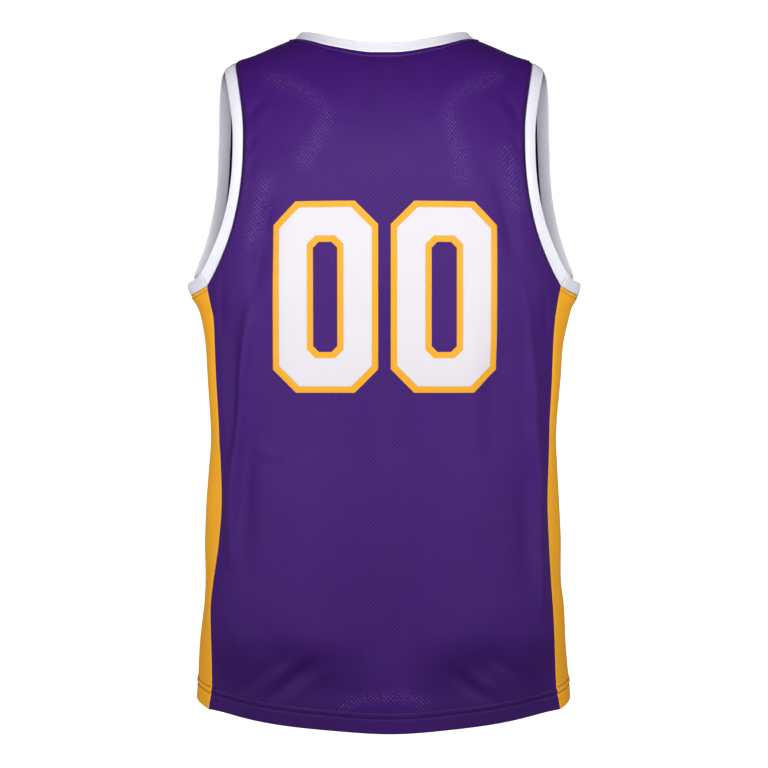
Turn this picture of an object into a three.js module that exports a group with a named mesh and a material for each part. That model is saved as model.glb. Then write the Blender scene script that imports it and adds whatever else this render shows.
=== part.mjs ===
// A men's sleeveless basketball jersey, filled out as it is when worn, with nobody in it.
// Frame: +Z up, +Y the way the wearer faces, +X to the wearer's right. Sizes are in millimetres.
// Origin: midway between the shoulders, at the height where they carry the straps.
// Every piece of cloth is a thin closed wall. Its outer points lie on one garment surface, so pieces meet at seams.

import * as THREE from "three";

// Driving sizes
const CLOTH = 1.2; // wall of the body cloth
const BAND_CLOTH = 2.0; // the neck and armhole bands are double cloth
const BAND_WIDTH = 14;
const HEM_HEIGHT = 19; // turned-up hem, double cloth
const SEAM_GAP = 0.3;

const HEM_SIDE = -701; // height of the hem at the side line
const HEM_DIP_BACK = 21; // how far the hem dips at centre back
const HEM_DIP_FRONT = 12;
const HEM_CURVE = 1.5; // how round the dip is: 1 is nearly level across the middle, 2 a deep bow
const UNDERARM = -267; // lowest point of the armhole seam, on the side line
const SEAM_TOP_BACK = -258; // height where the side seams meet the armhole
const SEAM_TOP_FRONT = -250;
const BACK_SEAM_SHARE = 0.92; // side seams, as a share of the half width
const FRONT_SEAM_SHARE = 0.965;
const SEAM_BULGE_SPREAD = 0.22; // how far round the body the waver of the back seam is felt
const UNDERARM_STEP_FADE = 0.4; // share of the upper panel over which its depth settles from the lower body's

const NECK_HALF = 103; // neck seam to the middle, on the shoulder line
const STRAP_END = 161.3; // armhole seam to the middle, on the shoulder line
const ROLL_BACK = 175; // height over which the back rolls forward to the shoulder line
const ROLL_FRONT = 150;

// Sections of the body: half widths at the side line, where the back seams stand, depths at the centre,
// and how square the section is (2 is an ellipse).
const SECTIONS = [
  { level: -703, left: 203.2, leftSeam: 185.6, right: 202, rightSeam: 186.5, back: 117, front: 120, square: 2.2 },
  { level: -684, left: 202.2, leftSeam: 183.2, right: 201, rightSeam: 183.5, back: 118, front: 120, square: 2.2 },
  { level: -641, left: 199.5, leftSeam: 183.6, right: 196.7, rightSeam: 181.6, back: 118, front: 120, square: 2.2 },
  { level: -600, left: 194.6, leftSeam: 184.4, right: 194.8, rightSeam: 179.8, back: 116, front: 120, square: 2.2 },
  { level: -575, left: 193.6, leftSeam: 182, right: 192, rightSeam: 178, back: 115, front: 120, square: 2.2 },
  { level: -532, left: 194.8, leftSeam: 176, right: 192.4, rightSeam: 175.6, back: 114, front: 120, square: 2.2 },
  { level: -488, left: 193.2, leftSeam: 172.8, right: 190.4, rightSeam: 174, back: 113, front: 120, square: 2.2 },
  { level: -445, left: 189.8, leftSeam: 173.9, right: 188, rightSeam: 175.2, back: 112.5, front: 121, square: 2.2 },
  { level: -423, left: 188, leftSeam: 175.2, right: 186.8, rightSeam: 175.9, back: 112.5, front: 121.5, square: 2.2 },
  { level: -401, left: 188.6, leftSeam: 176, right: 187.8, rightSeam: 176.3, back: 113, front: 122, square: 2.2 },
  { level: -358, left: 191.5, leftSeam: 178.5, right: 192.4, rightSeam: 178.6, back: 115, front: 124, square: 2.2 },
  { level: -319, left: 194, leftSeam: 180, right: 195, rightSeam: 180, back: 117, front: 126, square: 2.2 },
  { level: -292, left: 198.4, leftSeam: 181.3, right: 200.8, rightSeam: 182, back: 118, front: 127, square: 2.2 },
  { level: -279, left: 202.7, leftSeam: 184, right: 204.5, rightSeam: 184, back: 118.5, front: 127, square: 2.2 },
  { level: -267, left: 209.8, leftSeam: 186.5, right: 211, rightSeam: 186, back: 119, front: 127, square: 2.2 },
  { level: -258, left: 208.4, leftSeam: 188, right: 208.4, rightSeam: 188, back: 119, front: 127, square: 2.2 },
  { level: -200, left: 205, leftSeam: 188.6, right: 205, rightSeam: 188.6, back: 120, front: 126, square: 2.35 },
  { level: -140, left: 205, leftSeam: 188.6, right: 205, rightSeam: 188.6, back: 120, front: 123, square: 2.5 },
  { level: -60, left: 205, leftSeam: 188.6, right: 205, rightSeam: 188.6, back: 118, front: 117, square: 2.5 },
  { level: 30, left: 205, leftSeam: 188.6, right: 205, rightSeam: 188.6, back: 117, front: 112, square: 2.5 },
];

// The shoulder line from the middle outwards. Between the neck seams it is only imagined.
const SHOULDER_LINE = [
  { across: 0, height: 22 },
  { across: 40, height: 20.6 },
  { across: 70, height: 17 },
  { across: 99, height: 12 },
  { across: 120, height: 4 },
  { across: 140, height: -4.4 },
  { across: 161.3, height: -11.6 },
  { across: 205, height: -28.6 },
];

// Armhole seams from the shoulder line down: distance from the middle, and how far the band leans out of the
// cloth's own surface (degrees), for each degree that the cloth has turned from the shoulder line.
const ARMHOLE_BACK = [
  { turn: 0, across: 161.3, lean: -8 },
  { turn: 20, across: 159.4, lean: -8 },
  { turn: 39, across: 154.2, lean: -8 },
  { turn: 55, across: 149, lean: -8 },
  { turn: 65, across: 147.8, lean: -8 },
  { turn: 75, across: 148.5, lean: -7 },
  { turn: 84, across: 152, lean: -5 },
  { turn: 92, across: 158, lean: 0 },
  { turn: 98, across: 165, lean: 8 },
  { turn: 104, across: 175, lean: 16 },
  { turn: 110.4, across: 188, lean: 22 },
];
const ARMHOLE_FRONT = [
  { turn: 0, across: 161.3, lean: -8 },
  { turn: 14, across: 165.8, lean: -3 },
  { turn: 26, across: 168.6, lean: 4 },
  { turn: 38, across: 171, lean: 9 },
  { turn: 50, across: 172.6, lean: 12 },
  { turn: 62, across: 174.4, lean: 13 },
  { turn: 84, across: 179, lean: 12 },
  { turn: 99, across: 185.4, lean: 19 },
  { turn: 108, across: 191.4, lean: 28 },
  { turn: 114, across: 196.6, lean: 33 },
  { turn: 119.3, across: 200.9, lean: 38 },
];
const UNDERARM_LEAN = -8;

// Neck seams from the centre out to the shoulder line, at equal steps along the seam.
const NECK_BACK = [
  { across: 0, turn: 36.9 },
  { across: 17, turn: 36.4 },
  { across: 34, turn: 34.5 },
  { across: 50, turn: 31.3 },
  { across: 65, turn: 26.9 },
  { across: 78, turn: 21 },
  { across: 89.5, turn: 14.2 },
  { across: 98.5, turn: 7.2 },
  { across: 103, turn: 0 },
];
const NECK_FRONT = [
  { across: 0, turn: 77 },
  { across: 17, turn: 76 },
  { across: 34, turn: 72.4 },
  { across: 50, turn: 66 },
  { across: 64.5, turn: 57 },
  { across: 77, turn: 46 },
  { across: 88, turn: 34.5 },
  { across: 96.5, turn: 22.5 },
  { across: 101.5, turn: 11 },
  { across: 103, turn: 0 },
];
const STRAP_COLUMNS = 5;

// Largest folds, each a soft ridge (or trough, where rise is negative) between two places on a panel.
const FOLDS_BACK = [
  { fromX: -126, fromZ: -235, toX: -161, toZ: -560, width: 9, rise: 3 },
  { fromX: -146, fromZ: -250, toX: -172, toZ: -520, width: 10, rise: -2 },
  { fromX: 150, fromZ: -270, toX: 171, toZ: -580, width: 8, rise: 3 },
  { fromX: 124, fromZ: -300, toX: 132, toZ: -570, width: 20, rise: -3 },
  { fromX: 10, fromZ: -230, toX: 4, toZ: -560, width: 22, rise: -2.5 },
  { fromX: -108, fromZ: -140, toX: -138, toZ: -300, width: 12, rise: -2.5 },
  { fromX: 106, fromZ: -120, toX: 142, toZ: -250, width: 12, rise: -2 },
  { fromX: -150, fromZ: -600, toX: -60, toZ: -700, width: 26, rise: -4 },
  { fromX: 150, fromZ: -600, toX: 60, toZ: -700, width: 26, rise: -4 },
];
const FOLDS_FRONT = [
  { fromX: -135, fromZ: -240, toX: -158, toZ: -560, width: 14, rise: 3 },
  { fromX: 138, fromZ: -250, toX: 150, toZ: -600, width: 14, rise: 3 },
  { fromX: -60, fromZ: -300, toX: -80, toZ: -660, width: 24, rise: -3 },
  { fromX: 66, fromZ: -340, toX: 90, toZ: -680, width: 24, rise: -3 },
];

const FOLD_EDGE_POWER = 8; // the larger, the nearer to the side seams the folds reach
const FOLD_TOP_FADE = 0.25; // share of the height above the underarm in which they die out

// How finely the walls are divided
const LOWER_ROWS = 20; // hem stitching to the underarm
const UPPER_ROWS = 14; // underarm to the shoulder line
const SIDE_COLUMNS = 6;

const DEGREE = Math.PI / 180;
const HAIR = 0.01; // step for measuring a slope, in millimetres or degrees

const mix = (a, b, share) => a + (b - a) * share;
const clamp = (value, low, high) => Math.min(high, Math.max(low, value));

// A smooth curve through the points (at[i], value[i]): a cubic between each pair, with the slope at a point
// taken from its two neighbours.
function smoothCurve(at, value, t) {
  const last = at.length - 1;
  let i = 0;
  while (i < last - 1 && t > at[i + 1]) i += 1;
  const slope = (k) => {
    const before = Math.max(k - 1, 0);
    const after = Math.min(k + 1, last);
    return (value[after] - value[before]) / (at[after] - at[before]);
  };
  const span = at[i + 1] - at[i];
  const s = clamp((t - at[i]) / span, 0, 1);
  const beyond = t - clamp(t, at[i], at[i + 1]);
  const rise = value[i + 1] - value[i];
  const startPull = slope(i) * span - rise;
  const endPull = rise - slope(i + 1) * span;
  const bend = s * (1 - s) * (startPull * (1 - s) + endPull * s);
  const endSlope = beyond < 0 ? slope(i) : slope(i + 1);
  return value[i] + rise * s + bend + beyond * endSlope;
}

const readTable = (table, key, column) => {
  const at = table.map((row) => row[key]);
  const value = table.map((row) => row[column]);
  return (t) => smoothCurve(at, value, t);
};
const readRows = (table, column) => {
  const at = table.map((row, i) => i);
  const value = table.map((row) => row[column]);
  return (share) => smoothCurve(at, value, share * (table.length - 1));
};

const section = {};
for (const name of ["left", "leftSeam", "right", "rightSeam", "back", "front", "square"])
  section[name] = readTable(SECTIONS, "level", name);
const shoulderHeight = readTable(SHOULDER_LINE, "across", "height");
const shoulderLine = (x) => shoulderHeight(Math.abs(x));

const BACK = {
  away: -1,
  depth: section.back,
  roll: ROLL_BACK,
  seamTop: SEAM_TOP_BACK,
  seamShare: BACK_SEAM_SHARE,
  armhole: readTable(ARMHOLE_BACK, "turn", "across"),
  bandLean: readTable(ARMHOLE_BACK, "turn", "lean"),
  neckAcross: readRows(NECK_BACK, "across"),
  neckTurn: readRows(NECK_BACK, "turn"),
  neckColumns: NECK_BACK.length - 1,
  hemDip: HEM_DIP_BACK,
  folds: FOLDS_BACK,
};
const FRONT = {
  away: 1,
  depth: section.front,
  roll: ROLL_FRONT,
  seamTop: SEAM_TOP_FRONT,
  seamShare: FRONT_SEAM_SHARE,
  armhole: readTable(ARMHOLE_FRONT, "turn", "across"),
  bandLean: readTable(ARMHOLE_FRONT, "turn", "lean"),
  neckAcross: readRows(NECK_FRONT, "across"),
  neckTurn: readRows(NECK_FRONT, "turn"),
  neckColumns: NECK_FRONT.length - 1,
  hemDip: HEM_DIP_FRONT,
  folds: FOLDS_FRONT,
};

const halfWidth = (x, z) => (x < 0 ? section.left(z) : section.right(z));
const backSeam = (x, z) => (x < 0 ? section.leftSeam(z) : section.rightSeam(z));

// Share of the depth left at a share of the half width, on a section of the given squareness.
const depthShare = (widthShare, square) => Math.pow(Math.max(0, 1 - Math.pow(widthShare, square)), 1 / square);

// The lower body, below the armholes. Angle 0 is centre back, 90 the right side line, -90 the left, 180 the front.
function lowerPoint(angle, rise) {
  const turned = Math.abs(angle) * DEGREE;
  const sign = angle < 0 ? -1 : 1;
  const roundness = 2 / SECTIONS[0].square;
  const across = Math.pow(Math.abs(Math.sin(turned)), roundness);
  const backShare = Math.sign(Math.cos(turned)) * Math.pow(Math.abs(Math.cos(turned)), roundness);
  const panel = backShare > 0 ? BACK : FRONT;
  const hem = HEM_SIDE - panel.hemDip * Math.abs(backShare) ** HEM_CURVE;
  const pastSeam = clamp((across - panel.seamShare) / (1 - panel.seamShare), 0, 1);
  const z = mix(hem, mix(panel.seamTop, UNDERARM, pastSeam), rise);
  const half = halfWidth(sign, z);
  const seamDepth = depthShare(BACK_SEAM_SHARE, SECTIONS[0].square);
  const nearSeam = Math.exp(-(((backShare - seamDepth) / SEAM_BULGE_SPREAD) ** 2));
  const waver = (backSeam(sign, z) - BACK_SEAM_SHARE * half) * nearSeam;
  return new THREE.Vector3(sign * (half * across + waver), -backShare * panel.depth(z), z);
}

const seamAngle = (panel) => {
  const fromCentre = Math.asin(Math.pow(panel.seamShare, SECTIONS[0].square / 2)) / DEGREE;
  return panel === BACK ? fromCentre : 180 - fromCentre;
};

// How far the cloth has turned from the shoulder line when it is down at the top of the side seams.
const fullTurn = (panel, x) => Math.acos(1 - (shoulderLine(x) - panel.seamTop) / panel.roll) / DEGREE;
const edgeAngle = (panel) => (panel === BACK ? seamAngle(BACK) : 180 - seamAngle(FRONT));
const seamTopX = (panel, sign) => {
  const fromCentre = edgeAngle(panel);
  return Math.abs(lowerPoint(sign * (panel === BACK ? fromCentre : 180 - fromCentre), 1).x);
};

// Depth of a panel's section above the underarm, at a distance from the middle.
const panelDepth = (panel, x, sign, z) =>
  panel.away * panel.depth(z) * depthShare(x / halfWidth(sign, z), section.square(z));

// A panel's outer surface. u runs from -1 at the left edge to 1 at the right edge. v runs from 0 at the hem to
// 1 at the underarm, and on to 2 at the shoulder line and the neck.
function panelPoint(panel, u, v) {
  const sign = u < 0 ? -1 : 1;
  const side = Math.abs(u);
  const angle = panel === BACK ? side * edgeAngle(panel) : 180 - side * edgeAngle(panel);
  if (v <= 1) return lowerPoint(sign * angle, v);

  const below = lowerPoint(sign * angle, 1);
  const neckEnd = panel.neckColumns / (panel.neckColumns + STRAP_COLUMNS);
  const onNeck = side <= neckEnd;
  const alongStrap = (side - neckEnd) / (1 - neckEnd);
  const topAcross = onNeck ? panel.neckAcross(side / neckEnd) : mix(NECK_HALF, STRAP_END, alongStrap);
  const topTurn = onNeck ? panel.neckTurn(side / neckEnd) : 0;
  const edgeX = seamTopX(panel, sign);
  const edge = panel.armhole(fullTurn(panel, edgeX) * (2 - v));
  const share = mix(Math.abs(below.x) / edgeX, topAcross / STRAP_END, v - 1);
  const x = edge * share;
  const turn = mix(topTurn, fullTurn(panel, below.x), 2 - v);
  const z = shoulderLine(x) - panel.roll * (1 - Math.cos(turn * DEGREE));
  const rolled = Math.sin(Math.min(turn, 90) * DEGREE);
  const step = below.y - panelDepth(panel, Math.abs(below.x), sign, below.z);
  const fade = clamp(1 - (v - 1) / UNDERARM_STEP_FADE, 0, 1);
  const y = panelDepth(panel, x, sign, z) * rolled + step * fade * fade * (3 - 2 * fade);
  return new THREE.Vector3(sign * x, y, z);
}

// Which way a panel faces at a point above the underarm: up the slope of its rolled section.
function upperNormal(panel, p) {
  const level = (x, y, z) => {
    const depth = panel.depth(z) * depthShare(Math.abs(x) / halfWidth(x, z), section.square(z));
    const upright = clamp(1 - (shoulderLine(x) - z) / panel.roll, 0, 1);
    return (y / depth) ** 2 + upright ** 2;
  };
  return new THREE.Vector3(
    level(p.x + HAIR, p.y, p.z) - level(p.x - HAIR, p.y, p.z),
    level(p.x, p.y + HAIR, p.z) - level(p.x, p.y - HAIR, p.z),
    level(p.x, p.y, p.z + HAIR) - level(p.x, p.y, p.z - HAIR),
  ).normalize();
}

function lowerNormal(angle, rise) {
  const low = clamp(rise - HAIR, 0, 1);
  const high = clamp(rise + HAIR, 0, 1);
  const round = lowerPoint(angle + HAIR, rise).sub(lowerPoint(angle - HAIR, rise));
  const up = lowerPoint(angle, high).sub(lowerPoint(angle, low));
  return round.cross(up).normalize();
}

function panelNormal(panel, u, v) {
  if (v > 1) return upperNormal(panel, panelPoint(panel, u, v));
  const fromCentre = Math.abs(u) * edgeAngle(panel);
  const angle = panel === BACK ? fromCentre : 180 - fromCentre;
  return lowerNormal(u < 0 ? -angle : angle, v);
}

// How far the folds lift the cloth at a point: each is a soft bell across, and fades to nothing at both ends.
function foldRise(folds, p) {
  let total = 0;
  for (const fold of folds) {
    const runX = fold.toX - fold.fromX;
    const runZ = fold.toZ - fold.fromZ;
    const length = Math.hypot(runX, runZ);
    const along = ((p.x - fold.fromX) * runX + (p.z - fold.fromZ) * runZ) / (length * length);
    const across = ((p.x - fold.fromX) * runZ - (p.z - fold.fromZ) * runX) / length;
    const fade = Math.sin(Math.PI * clamp(along, 0, 1));
    total += fold.rise * fade * Math.exp(-((across / fold.width) ** 2));
  }
  return total;
}

// One point of a wall: where it is, and which way it faces.
function panelSpot(panel, u, v) {
  const at = panelPoint(panel, u, v);
  const facing = panelNormal(panel, u, v);
  const edgeFade = 1 - Math.abs(u) ** FOLD_EDGE_POWER;
  const topFade = clamp((2 - v) / FOLD_TOP_FADE, 0, 1);
  at.addScaledVector(facing, foldRise(panel.folds, at) * edgeFade * topFade);
  return { at, facing };
}

// A closed wall from a grid of spots: the outer face, the inner face moved in by the cloth, and the rim.
function wall(grid, thickness, closedRound = false) {
  const rows = grid.length;
  const columns = grid[0].length;
  const positions = [];
  for (const inward of [false, true])
    for (let r = 0; r < rows; r += 1)
      for (let c = 0; c < columns; c += 1) {
        const spot = grid[r][c];
        const depth = inward ? thickness(r, c) : 0;
        positions.push(...spot.at.clone().addScaledVector(spot.facing, -depth).toArray());
      }
  const faces = [];
  const outer = (r, c) => r * columns + (c % columns);
  const inner = (r, c) => rows * columns + outer(r, c);
  const quad = (a, b, c, d) => faces.push(a, b, c, a, c, d);
  const lastColumn = closedRound ? columns : columns - 1;
  for (let r = 0; r < rows - 1; r += 1)
    for (let c = 0; c < lastColumn; c += 1) {
      quad(outer(r, c), outer(r, c + 1), outer(r + 1, c + 1), outer(r + 1, c));
      quad(inner(r, c), inner(r + 1, c), inner(r + 1, c + 1), inner(r, c + 1));
    }
  for (let c = 0; c < lastColumn; c += 1) {
    quad(outer(0, c), inner(0, c), inner(0, c + 1), outer(0, c + 1));
    quad(outer(rows - 1, c), outer(rows - 1, c + 1), inner(rows - 1, c + 1), inner(rows - 1, c));
  }
  if (!closedRound)
    for (let r = 0; r < rows - 1; r += 1) {
      quad(outer(r, 0), outer(r + 1, 0), inner(r + 1, 0), inner(r, 0));
      quad(outer(r, columns - 1), inner(r, columns - 1), inner(r + 1, columns - 1), outer(r + 1, columns - 1));
    }
  const geometry = new THREE.BufferGeometry();
  geometry.setAttribute("position", new THREE.Float32BufferAttribute(positions, 3));
  geometry.setIndex(faces);
  geometry.computeVertexNormals();
  return geometry;
}

// Heights of the rows below the underarm: the hem's edge, its stitching, then equal steps.
const hemShare = HEM_HEIGHT / (UNDERARM - HEM_SIDE);
const lowerRows = [0];
for (let i = 0; i <= LOWER_ROWS; i += 1) lowerRows.push(mix(hemShare, 1, i / LOWER_ROWS));
const upperRows = [];
for (let i = 1; i <= UPPER_ROWS; i += 1) upperRows.push(1 + i / UPPER_ROWS);
const hemThickness = (row) => (row <= 1 ? 2 * CLOTH : CLOTH);

// Front or back panel. Columns run so that the outer face looks away from the body.
function bodyPanel(panel) {
  const columns = panel.neckColumns + STRAP_COLUMNS;
  const halfSeam = SEAM_GAP / 2 / STRAP_END;
  const shoulderSeam = SEAM_GAP / 2 / (panel.depth(0) * fullTurn(panel, STRAP_END) * DEGREE);
  const rows = [...lowerRows, ...upperRows];
  const grid = rows.map((v) => {
    const line = [];
    for (let c = -columns; c <= columns; c += 1) {
      const u = clamp(c / columns, -1 + halfSeam, 1 - halfSeam);
      line.push(panelSpot(panel, u, Math.min(v, 2 - shoulderSeam)));
    }
    return panel === BACK ? line : line.reverse();
  });
  return wall(grid, hemThickness);
}

// Side panel between the back and front seams. hand is 1 on the right and -1 on the left.
function sidePanel(hand) {
  const from = seamAngle(BACK);
  const to = seamAngle(FRONT);
  const halfSeam = SEAM_GAP / 2 / section.front(UNDERARM) / DEGREE;
  const grid = lowerRows.map((v) => {
    const line = [];
    for (let c = 0; c <= SIDE_COLUMNS; c += 1) {
      const angle = hand * mix(from + halfSeam, to - halfSeam, c / SIDE_COLUMNS);
      line.push({ at: lowerPoint(angle, v), facing: lowerNormal(angle, v) });
    }
    return hand > 0 ? line : line.reverse();
  });
  return wall(grid, hemThickness);
}

// A band sewn along a closed seam, standing out from the cloth's edge into the opening. Each stop on the seam
// has its place, its facing, and how far the band leans from the cloth towards that facing, in degrees.
function edgeBand(stops) {
  const count = stops.length;
  const centre = new THREE.Vector3();
  for (const stop of stops) centre.addScaledVector(stop.at, 1 / count);
  const rings = [SEAM_GAP, SEAM_GAP + BAND_WIDTH / 2, SEAM_GAP + BAND_WIDTH];
  const outward = stops.map((stop, i) => {
    const before = stops[(i + count - 1) % count].at;
    const after = stops[(i + 1) % count].at;
    const into = after.clone().sub(before).cross(stop.facing).normalize();
    if (into.dot(centre.clone().sub(stop.at)) < 0) into.negate();
    return into;
  });
  const grid = rings.map((reach, k) =>
    stops.map((stop, i) => {
      const lean = stop.lean * DEGREE * (k / (rings.length - 1));
      const along = outward[i].clone().multiplyScalar(Math.cos(lean)).addScaledVector(stop.facing, Math.sin(lean));
      const facing = stop.facing.clone().multiplyScalar(Math.cos(lean)).addScaledVector(outward[i], -Math.sin(lean));
      const first = outward[i].clone().multiplyScalar(SEAM_GAP);
      const at = stop.at.clone().add(first).addScaledVector(along, reach - SEAM_GAP);
      return { at, facing };
    }),
  );
  const turning = grid[0][1].at.clone().sub(grid[0][0].at).cross(grid[1][0].at.clone().sub(grid[0][0].at));
  if (turning.dot(grid[0][0].facing) < 0) for (const line of grid) line.reverse();
  return wall(grid, () => BAND_CLOTH, true);
}

const NECK_LEAN = { shoulder: 33, back: 10, front: 4 };
const NECK_LEAN_SPREAD = 4; // the larger, the nearer to the shoulder line the lean stays
function neckBand() {
  const stops = [];
  for (const [panel, lean] of [[BACK, NECK_LEAN.back], [FRONT, NECK_LEAN.front]]) {
    const columns = panel.neckColumns;
    const neckEnd = columns / (columns + STRAP_COLUMNS);
    for (let c = -columns; c < columns; c += 1) {
      const u = -panel.away * (c / columns) * neckEnd;
      const spot = panelSpot(panel, u, 2);
      stops.push({ ...spot, lean: mix(lean, NECK_LEAN.shoulder, Math.abs(c / columns) ** NECK_LEAN_SPREAD) });
    }
  }
  return edgeBand(stops);
}

function armholeBand(hand) {
  const stops = [];
  const addStop = (panel, v) => {
    const lean = panel.bandLean(fullTurn(panel, seamTopX(panel, hand)) * (2 - v));
    stops.push({ ...panelSpot(panel, hand, v), lean });
  };
  for (const v of upperRows) addStop(BACK, v);
  for (const v of [...upperRows].reverse().slice(1)) addStop(FRONT, v);
  const backLean = ARMHOLE_BACK.at(-1).lean;
  const frontLean = ARMHOLE_FRONT.at(-1).lean;
  for (let c = SIDE_COLUMNS; c >= 0; c -= 1) {
    const angle = hand * mix(seamAngle(BACK), seamAngle(FRONT), c / SIDE_COLUMNS);
    const fromMiddle = 2 * (c / SIDE_COLUMNS) - 1;
    const lean = mix(UNDERARM_LEAN, fromMiddle < 0 ? backLean : frontLean, fromMiddle ** 2);
    stops.push({ at: lowerPoint(angle, 1), facing: lowerNormal(angle, 1), lean });
  }
  return edgeBand(stops);
}

const purpleMesh = new THREE.MeshStandardMaterial({ color: 0x44266f, roughness: 0.62, metalness: 0 });
const goldCloth = new THREE.MeshStandardMaterial({ color: 0xe6a01a, roughness: 0.68, metalness: 0 });
const whiteBand = new THREE.MeshStandardMaterial({ color: 0xe9e8f0, roughness: 0.7, metalness: 0 });

function piece(name, geometry, material) {
  const mesh = new THREE.Mesh(geometry, material);
  mesh.name = name;
  return mesh;
}

const jersey = new THREE.Group();
jersey.add(
  piece("back_panel", bodyPanel(BACK), purpleMesh),
  piece("front_panel", bodyPanel(FRONT), purpleMesh),
  piece("side_panel_right", sidePanel(1), goldCloth),
  piece("side_panel_left", sidePanel(-1), goldCloth),
  piece("neck_band", neckBand(), whiteBand),
  piece("armhole_band_right", armholeBand(1), whiteBand),
  piece("armhole_band_left", armholeBand(-1), whiteBand),
);

export default jersey;
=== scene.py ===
"""A men's basketball jersey seen from behind, filled out as it is when worn, with nobody in it.

Lengths are in millimetres until a mesh is written, where they become metres. +Z is up, +Y is the way the
wearer faces and +X is to the wearer's right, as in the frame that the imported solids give.
"""

import bpy
import numpy as np
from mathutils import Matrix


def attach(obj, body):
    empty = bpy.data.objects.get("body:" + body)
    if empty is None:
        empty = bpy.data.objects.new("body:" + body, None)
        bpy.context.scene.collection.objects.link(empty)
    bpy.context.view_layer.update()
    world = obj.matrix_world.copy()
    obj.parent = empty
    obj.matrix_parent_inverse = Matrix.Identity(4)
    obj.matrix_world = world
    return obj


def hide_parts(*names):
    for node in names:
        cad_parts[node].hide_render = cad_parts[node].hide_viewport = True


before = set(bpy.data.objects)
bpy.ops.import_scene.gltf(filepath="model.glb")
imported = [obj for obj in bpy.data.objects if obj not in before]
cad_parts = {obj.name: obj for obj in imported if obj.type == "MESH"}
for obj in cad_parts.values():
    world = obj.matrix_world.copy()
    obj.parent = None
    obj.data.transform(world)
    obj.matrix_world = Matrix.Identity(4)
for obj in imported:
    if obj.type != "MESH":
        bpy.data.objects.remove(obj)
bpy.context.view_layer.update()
MM = 0.001

# Camera: where the photograph was taken from, and how wide its frame is at the wearer's middle
CAMERA_BACK = 2000
CAMERA_HEIGHT = -361.9
FRAME_WIDTH = 837.1
SENSOR = 36

# Sewing sizes
SEAM_GAP = 0.3
BAND_WIDTH = 14
BAND_THICKNESS = 2.2
HEM_HEIGHT = 20
HEM_STITCHES = (16, 22.4)
HEM_FOLD_RADIUS = 0.8
HEM_INSIDE_ROWS = 8
HEM_FOLD_ROWS = 5
HEM_ROWS = HEM_INSIDE_ROWS + HEM_FOLD_ROWS
HEM_LEVELS = np.arange(1, 28, 1.1)
CLOTH = 0.6
BAND_CLOTH = 0.5
EDGE_ROUND = 0.9
EDGE_TUCK = 2.0
PANEL_WIDTH = 480
PANEL_LENGTH = 780
SIDE_WIDTH = 110
NECK_STITCH = 6.5
ARMHOLE_STITCH = 3.8
STITCH_PITCH = 2.7
STITCH_LENGTH = 2.6
THREAD_RADIUS = 0.36

# The mesh: two half-shifted rows of holes
MESH_PITCH = 4.55
HOLE_RADIUS = 0.5
HOLE_SOFT_EDGE = 0.5

# The number: two block noughts of heated film, white with a gold edge all round
NUMBER_TOP = -174
NUMBER_BOTTOM = -371
NUMBER_SIDES = ((-115, -6), (7, 117))
NUMBER_STROKE = 42
NUMBER_EDGE = 6.5
NUMBER_CHAMFERS = (24, 6)
FILM = 0.3

# The blank label inside the back of the neck
LABEL_SIDES = (-17, 18)
LABEL_HEIGHTS = (-49, -25)

# Heights and shares that place the seams
HEM_SIDE = -701
HEM_CURVE = 1.5
UNDERARM = -267
BACK_SEAM_SHARE = 0.92
SEAM_BULGE_SPREAD = 0.22
NECK_HALF = 103
STRAP_END = 161.3
LOWER_SQUARENESS = 2.2
UNDERARM_STEP_FADE = 0.4
UNDERARM_BLEND = 0.022

# Sections of the body: half widths at the side line, where the back seams stand, depths at the centre, and
# how square the section is, from the hem up.
SECTIONS = {
    "level": [-703, -684, -641, -600, -575, -532, -488, -445, -423, -401,
              -358, -319, -292, -279, -267, -258, -200, -140, -60, 30],
    "left": [203.2, 202.2, 199.5, 194.6, 193.6, 194.8, 193.2, 189.8, 188, 188.6,
             191.5, 194, 198.4, 202.7, 209.8, 208.4, 205, 205, 205, 205],
    "left_seam": [185.6, 183.2, 183.6, 184.4, 182, 176, 172.8, 173.9, 175.2, 176,
                  178.5, 180, 181.3, 184, 186.5, 188, 188.6, 188.6, 188.6, 188.6],
    "right": [202, 201, 196.7, 194.8, 192, 192.4, 190.4, 188, 186.8, 187.8,
              192.4, 195, 200.8, 204.5, 211, 208.4, 205, 205, 205, 205],
    "right_seam": [186.5, 183.5, 181.6, 179.8, 178, 175.6, 174, 175.2, 175.9, 176.3,
                   178.6, 180, 182, 184, 186, 188, 188.6, 188.6, 188.6, 188.6],
    "back": [117, 118, 118, 116, 115, 114, 113, 112.5, 112.5, 113,
             115, 117, 118, 118.5, 119, 119, 120, 120, 118, 117],
    "front": [120, 120, 120, 120, 120, 120, 120, 121, 121.5, 122,
              124, 126, 127, 127, 127, 127, 126, 123, 117, 112],
    "square": [2.2] * 16 + [2.35, 2.5, 2.5, 2.5],
}

# The shoulder line from the middle outwards
SHOULDER_LINE = {
    "across": [0, 40, 70, 99, 120, 140, 161.3, 205],
    "height": [22, 20.6, 17, 12, 4, -4.4, -11.6, -28.6],
}

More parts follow.
